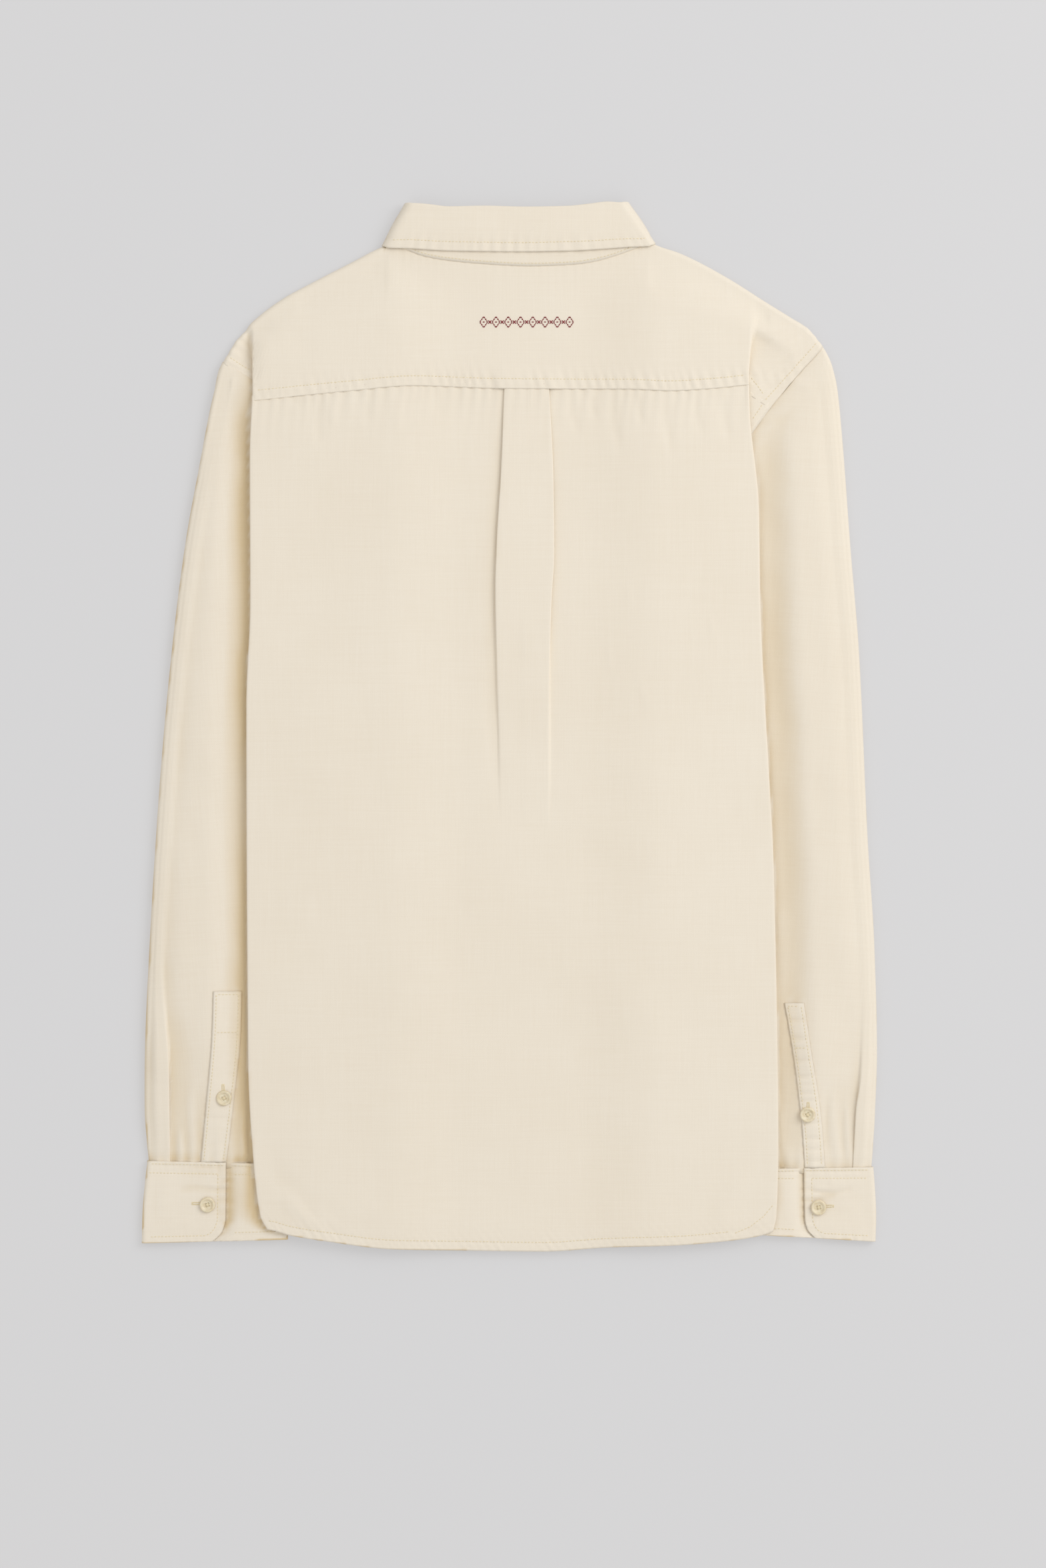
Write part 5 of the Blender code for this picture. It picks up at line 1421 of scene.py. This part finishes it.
clothPieces = [back, yokePiece, frontPlacket, stand, leaf]
for found in (frontPieces, sleevePieces, cuffPieces, placketPieces):
    clothPieces.extend(found.values())
mapX = np.arange(depthMap["low"][0], depthMap["high"][0], depthMap["step"])
mapY = np.arange(depthMap["low"][1], depthMap["high"][1], depthMap["step"])
gridX, gridY = np.meshgrid(mapX, mapY, indexing="ij")
topLevels = dropOn(surfaceTree(*clothPieces), gridX.ravel(), gridY.ravel()).reshape(gridX.shape)
topLevels = np.nan_to_num(topLevels, nan=0.0)
wideLevels = blurred(topLevels, depthMap["wide"] / depthMap["step"])
narrowLevels = blurred(topLevels, depthMap["narrow"] / depthMap["step"])
onSleeves = [*sleevePieces.values(), *cuffPieces.values(), *placketPieces.values()]
for piece in clothPieces:
    x, y, _ = vertexPlaces(piece).T
    here = readMap(topLevels, x, y)
    shiftX, shiftY = depthMap["shadeShift"]
    wide = readMap(wideLevels, x + shiftX, y + shiftY) - here
    narrow = readMap(narrowLevels, x + shiftX * 0.35, y + shiftY * 0.35) - here
    wideShadeGain, narrowShadeGain = depthMap["sleeveShadeGains" if piece in onSleeves else "bodyShadeGains"]
    # painted shade: how far each place lies below the cloth around it and on its lit side
    depth = np.clip(wide * wideShadeGain, 0, 0.8) + np.clip(narrow * narrowShadeGain, 0, 0.5)
    strength = [column(depthMap["along"][side], 1, y) for side in (left, right)]
    depth = depth * np.where(x < shirtCentre, *strength)
    # kept for the cloth's material, which darkens and warms its colour by this painted shade
    layer = piece.data.attributes.new("hollow", "FLOAT", "POINT")
    layer.data.foreach_set("value", np.clip(depth, 0, 1).astype(np.float32))
print("hollows measured")

# Sewing thread, laid over the finished pieces stitch by stitch

thread = {
    "pitch": 2.6,
    "length": 1.9,
    "radius": 0.25,
    "rise": 0.13,
    "sink": 0.14,
    "sides": 6,
    "twist": 900.0,  # scale of the strands in its finish
    # along a stitch: share, height as a share of the rise, thickness
    "profile": [(0.0, -1.0, 0.45), (0.18, 0.5, 0.95), (0.5, 1.0, 1.0), (0.82, 0.5, 0.95), (1.0, -1.0, 0.45)],
}


def threadMaterial(name, colour, shade):
    material, nodes, links = newNodes(name)
    shader = nodes["Principled BSDF"]
    shader.inputs["Roughness"].default_value = 0.62
    shader.inputs["Sheen Weight"].default_value = 0.3
    place = nodes.new("ShaderNodeTexCoord")
    strands = nodes.new("ShaderNodeTexWave")
    strands.bands_direction = "DIAGONAL"
    strands.inputs["Scale"].default_value = thread["twist"]
    strands.inputs["Distortion"].default_value = 1.5
    links.new(place.outputs["Object"], strands.inputs["Vector"])
    tint = rampNode(nodes, links, strands.outputs["Fac"], (0, shade), (1, colour))
    links.new(tint, shader.inputs["Base Color"])
    bump = bumpNode(nodes, links, strands.outputs["Fac"], 0.4, 0.0001)
    links.new(bump, shader.inputs["Normal"])
    return material


creamThread = threadMaterial("creamThread", (0.88, 0.78, 0.55), (0.78, 0.66, 0.42))
redThread = threadMaterial("redThread", (0.30, 0.012, 0.022), (0.16, 0.004, 0.010))


def makeThread(name, starts, ends, material, radius=thread["radius"], rise=thread["rise"],
               slot="oxford_trim"):
    way = ends - starts
    flat = np.hypot(way[:, 0], way[:, 1])[:, None]
    side = np.column_stack([-way[:, 1], way[:, 0], np.zeros(len(way))]) / flat
    up = np.array([0, 0, 1.0])
    angles = np.linspace(0, 2 * math.pi, thread["sides"], endpoint=False)
    rings = []
    for share, height, thick in thread["profile"]:
        lift = rise * height if height > 0 else thread["sink"] * height
        centre = starts + way * share + up * lift
        ring = [centre + radius * thick * (side * math.cos(a) + up * math.sin(a)) for a in angles]
        rings.append(np.stack(ring, axis=1))
    points = np.stack(rings, axis=1)  # stitch, ring, side, xyz
    count, ringCount, sides = points.shape[:3]
    index = np.arange(ringCount * sides).reshape(ringCount, sides)
    ahead = np.roll(index, -1, axis=1)
    quads = np.stack([index[:-1], ahead[:-1], ahead[1:], index[1:]], axis=-1).reshape(-1, 4)
    faces = []
    for number in range(count):
        base = number * ringCount * sides
        faces.extend((quads + base).tolist())
        faces.append((index[0][::-1] + base).tolist())
        faces.append((index[-1] + base).tolist())
    mesh = bpy.data.meshes.new(name)
    mesh.from_pydata((points.reshape(-1, 3) * mm).tolist(), [], faces)
    return placePiece(name, mesh, material)


def laidOn(tree, x, y):
    return np.column_stack([x, y, dropOn(tree, x, y)])


def sew(name, paths, tree, seed):  # a row of stitches along each path
    pitch, length = thread["pitch"], thread["length"]
    starts, ends = [], []
    for path in paths:
        path = np.asarray(path, float)
        steps = np.hypot(*np.diff(path[:, :2], axis=0).T)
        at = np.concatenate([[0], np.cumsum(steps)])
        count = max(int(at[-1] / pitch), 1)
        first = np.arange(count) * pitch + 0.2 + 0.12 * scatter(np.arange(count), seed)
        for begin, found in ((first, starts), (np.minimum(first + length, at[-1]), ends)):
            x = np.interp(begin, at, path[:, 0]) + 0.06 * scatter(np.arange(count), seed + 1)
            y = np.interp(begin, at, path[:, 1]) + 0.06 * scatter(np.arange(count), seed + 2)
            found.append(laidOn(tree, x, y))
    starts, ends = np.concatenate(starts), np.concatenate(ends)
    lengths = np.hypot(*(ends - starts)[:, :2].T)
    good = np.isfinite(starts[:, 2]) & np.isfinite(ends[:, 2]) & (lengths > 0.4)
    good &= np.abs(starts[:, 2] - ends[:, 2]) < 1.2
    return makeThread(name, starts[good], ends[good], creamThread)


stitching = {
    # points are x and y, and the two long rows run from one x to another
    "yokeSeam": (-188, 177),
    "yokeEnd": [(180.8, 260.4), (186, 254.0), (191.0, 246.6)],
    "armholes": [[(-213.4, 278.6), (-203, 271.6), (-192.6, 265.2)],
                 [(229.6, 286.2), (210, 264.2), (191.2, 243.4)],
                 [(189.2, 240.2), (181.0, 228.0)]],
    "hem": (-180, 166),
    "hemEnd": [(168.25, -379.2), (180, -374.2), (190, -366.5), (198.2, -356.5)],
    "fromNeck": 2.0,
}
torsoTree = surfaceTree(back, yokePiece)
seamX = np.linspace(*stitching["yokeSeam"], 240)
seamPath = np.column_stack([seamX, alongY(torso["yokeSeam"], seamX) + yoke["stitchAbove"]])
sew("yokeStitching", [seamPath, stitching["yokeEnd"]], torsoTree, 201)
sew("armholeStitching", stitching["armholes"], torsoTree, 203)
hemX = np.linspace(*stitching["hem"], 230)
hemPath = np.column_stack([hemX, alongY(torso["hem"], hemX) + backPuckers["hemBand"] + 0.3])
sew("hemStitching", [hemPath, stitching["hemEnd"]], torsoTree, 205)

backOnly = collarFaces[:, 2] > 0.8  # the sections that lie on the back
leafPath = []
for fold, edge in zip(collarFolds[backOnly], collarEdges[backOnly]):
    way = (fold - edge) / np.linalg.norm(fold - edge)
    leafPath.append((edge + way * collar["stitchFromEdge"])[:2])
sew("collarLeafStitching", [leafPath], surfaceTree(leaf), 207)
standPath = [(neck + up * stitching["fromNeck"])[:2]
             for neck, up in zip(collarNecks[backOnly], collarUps[backOnly])]
sew("neckStitching", [standPath], surfaceTree(stand, yokePiece), 209)


def onCuff(side, out, down):  # a point that far below the cuff's top edge
    across = (out - sleeve["inner"]) / (cuff["outer"] - sleeve["inner"])
    top = mix(*cuff["top"][side], across)
    bottom = mix(*cuff["bottom"][side], across)
    return side * out, top - down * (top - bottom) / cuff["stitchDepth"]


for side in (left, right):
    name = sideNames[side]
    ends = [float(column(cuff["overlapEnds"][side], 1, share)) for share in (0, 0.5, 0.72, 0.8, 0.86)]
    first, second, last = cuff["stitchRows"]
    paths = []
    for start, down in ((ends[0] + 1.5, first), (ends[0] + 5.8, second), (ends[4] + 12.5, last)):
        paths.append([onCuff(side, out, down) for out in np.linspace(start, cuff["stitchOuter"], 30)])
    # down the overlap's end and round its corner
    corner = [(ends[0] + 5.9, second), (ends[1] + 5.9, 29), (ends[2] + 5.9, 42), (ends[3] + 6.6, 47.5),
              (ends[4] + 8.4, 51.5), (ends[4] + 12.5, last)]
    paths.append([onCuff(side, out, down) for out, down in corner])
    # and on what shows of the underlap
    for down in cuff["underlapRows"]:
        paths.append([onCuff(side, out, down) for out in np.linspace(172, ends[0] - 4.5, 20)])
    sew(name + "CuffStitching", paths, surfaceTree(cuffPieces[side]), 211 + side)

    rows = strip["edges"][side]
    inset = strip["stitchInset"]
    heights = np.linspace(rows[0][0] - 2.5, rows[-1][0], 60)
    paths = [np.column_stack([side * (column(rows, 1, heights) + inset), heights]),
             np.column_stack([side * (column(rows, 2, heights) - inset), heights])]
    box = strip["boxStitch"][side]
    boxEdges = [float(column(rows, number, box)) for number in (1, 2)]
    for height, (inner, outer) in ((rows[0][0] - 2.4, rows[0][1:]), (box, boxEdges)):
        paths.append([(side * (inner + inset), height), (side * (outer - inset), height)])
    sew(name + "PlacketStitching", paths, surfaceTree(placketPieces[side]), 215 + side)
print("seams sewn")

# Buttonholes, in close satin stitch round a slit

buttonhole = {
    "barLength": 1.15,
    "barPitch": 0.42,
    "offset": 0.72,
    "tackLength": 2.6,
    "radius": 0.2,
    "rise": 0.06,
    # both ends of each slit: x, y
    "cuff": {left: ((-237.0, -357.4), (-223.0, -357.4)), right: ((228.6, -359.4), (242.0, -359.4))},
    "placket": {left: ((-214.0, -268.6), (-213.6, -281.0)), right: ((223.4, -282.0), (223.2, -294.0))},
}


def makeButtonhole(name, start, end, tree, seed):
    start, end = np.array(start, float), np.array(end, float)
    length = np.linalg.norm(end - start)
    along = (end - start) / length
    across = np.array([-along[1], along[0]])
    starts, ends = [], []
    for number in range(int(length / buttonhole["barPitch"])):
        middle = start + along * number * buttonhole["barPitch"]
        for way in (-1, 1):
            bar = across * way
            wobble = 0.07 * scatter(number, seed + way)
            for offset, found in ((-0.5, starts), (0.5, ends)):
                reach = buttonhole["offset"] + offset * (buttonhole["barLength"] + wobble)
                found.append(middle + bar * reach)
    for tip in (start - along * 0.2, end + along * 0.2):
        for step in (-0.3, 0.1, 0.5):
            starts.append(tip + along * step - across * buttonhole["tackLength"] / 2)
            ends.append(tip + along * step + across * buttonhole["tackLength"] / 2)
    placed = [laidOn(tree, *np.array(points).T) for points in (starts, ends)]
    return makeThread(name, *placed, creamThread, radius=buttonhole["radius"], rise=buttonhole["rise"])


for side in (left, right):
    name = sideNames[side]
    makeButtonhole(name + "CuffButtonhole", *buttonhole["cuff"][side],
                   surfaceTree(cuffPieces[side]), 301 + side)
    makeButtonhole(name + "PlacketButtonhole", *buttonhole["placket"][side],
                   surfaceTree(placketPieces[side]), 305 + side)

# thread through each button's four holes, crossed
crossed = {
    "turns": (45, 135),
    "strands": (-0.3, 0.0, 0.3),
    "above": 1.0,
    "over": 0.1,
    "radius": 0.19,
    "rise": 0.3,
}
for piece, turnDegrees in sewnOn:
    corner = np.array(piece.bound_box)
    middle = (corner.min(axis=0) + corner.max(axis=0)) / 2 / mm
    level = corner.min(axis=0)[2] / mm - button["low"] + crossed["above"]
    starts, ends = [], []
    for number, turn in enumerate(crossed["turns"]):
        angle = math.radians(turn + turnDegrees)
        along = np.array([math.cos(angle), math.sin(angle), 0])
        across = np.array([-math.sin(angle), math.cos(angle), 0])
        base = np.array([middle[0], middle[1], level + crossed["over"] * number])
        for step in crossed["strands"]:
            starts.append(base + across * step - along * button["holesAt"])
            ends.append(base + across * step + along * button["holesAt"])
    makeThread(piece.name + "Thread", np.array(starts), np.array(ends), creamThread,
               radius=crossed["radius"], rise=crossed["rise"])
print("buttonholes and button threads made")

# A small stitched border on the yoke: diamonds with crosses between them

motif = {
    "start": -22.0,
    "end": 48.0,
    "middle": 302.0,
    "count": 8,
    "halfWidth": 2.9,
    "halfHeight": 4.1,
    "bar": 0.9,
    "cross": 1.5,
    "stitches": 3,  # along each side of a diamond
    "gap": 0.06,  # share of a stitch
    "radius": 0.42,
    "rise": 0.2,
}
starts, ends = [], []
centres = np.linspace(motif["start"] + motif["halfWidth"], motif["end"] - motif["halfWidth"], motif["count"])


def motifLine(first, last, parts):
    first, last = np.array(first), np.array(last)
    for number in range(parts):
        starts.append(mix(first, last, (number + motif["gap"]) / parts))
        ends.append(mix(first, last, (number + 1 - motif["gap"]) / parts))


for number, x in enumerate(centres):
    y = motif["middle"]
    corners = [(x - motif["halfWidth"], y), (x, y + motif["halfHeight"]), (x + motif["halfWidth"], y),
               (x, y - motif["halfHeight"])]
    for first, last in zip(corners, corners[1:] + corners[:1]):
        motifLine(first, last, motif["stitches"])
    motifLine((x - motif["bar"], y), (x + motif["bar"], y), 1)
    if number:
        between = (x + centres[number - 1]) / 2
        reach = motif["cross"]
        motifLine((between - reach, y - reach), (between + reach, y + reach), 1)
        motifLine((between - reach, y + reach), (between + reach, y - reach), 1)
yokeTree = surfaceTree(yokePiece)
placed = [laidOn(yokeTree, *np.array(points).T) for points in (starts, ends)]
makeThread("yokeBorder", *placed, redThread, radius=motif["radius"], rise=motif["rise"], slot=None)
print("border stitched")

# Each side's name, read and not used

for side in (left, right):
    name = sideNames[side]

# The surface it lies on, the light and the camera, straight above

floorMesh = bpy.data.meshes.new("floor")
floorMesh.from_pydata([(-4, -4, 0), (4, -4, 0), (4, 4, 0), (-4, 4, 0)], [], [(0, 1, 2, 3)])
floorPaint, floorNodes, _ = newNodes("floorPaint")
floorShader = floorNodes["Principled BSDF"]
floorShader.inputs["Base Color"].default_value = (0.30, 0.298, 0.30, 1)
floorShader.inputs["Emission Color"].default_value = (1, 0.993, 1, 1)  # lit from below, so shadows stay faint
floorShader.inputs["Emission Strength"].default_value = 0.395
floorShader.inputs["Roughness"].default_value = 1.0
floorShader.inputs["Specular IOR Level"].default_value = 0.0
floorMesh.materials.append(floorPaint)
floor = bpy.data.objects.new("floor", floorMesh)
bpy.context.scene.collection.objects.link(floor)

studio = {
    # location, size, watts
    "key": ((2.1, 1.1, 2.1), 1.9, 43),
    "fill": ((-1.6, -0.8, 2.4), 2.6, 8),
    "worldStrength": 0.66,
    "camera": (0.01025, -0.0435, 3.0),
    "lens": 91.88,
}


def softLight(name, place, size, watts):
    light = bpy.data.lights.new(name, "AREA")
    light.size = size
    light.energy = watts
    lamp = bpy.data.objects.new(name, light)
    lamp.location = place
    aim = -lamp.location
    lamp.rotation_euler = aim.to_track_quat("-Z", "Y").to_euler()
    bpy.context.scene.collection.objects.link(lamp)
    return lamp


softLight("keyLight", *studio["key"])
softLight("fillLight", *studio["fill"])
world = bpy.data.worlds.new("softRoom")
world.use_nodes = True
sky = world.node_tree.nodes["Background"]
sky.inputs["Color"].default_value = (1, 0.995, 0.99, 1)
sky.inputs["Strength"].default_value = studio["worldStrength"]
bpy.context.scene.world = world
bpy.context.scene.view_settings.view_transform = "Standard"

camera = bpy.data.objects.new("camera", bpy.data.cameras.new("camera"))
camera.location = studio["camera"]
camera.data.lens = studio["lens"]
camera.data.sensor_width = 36
camera.data.sensor_fit = "AUTO"
camera.data.clip_end = 20
bpy.context.scene.collection.objects.link(camera)
bpy.context.scene.camera = camera
print("stage, light and camera ready")
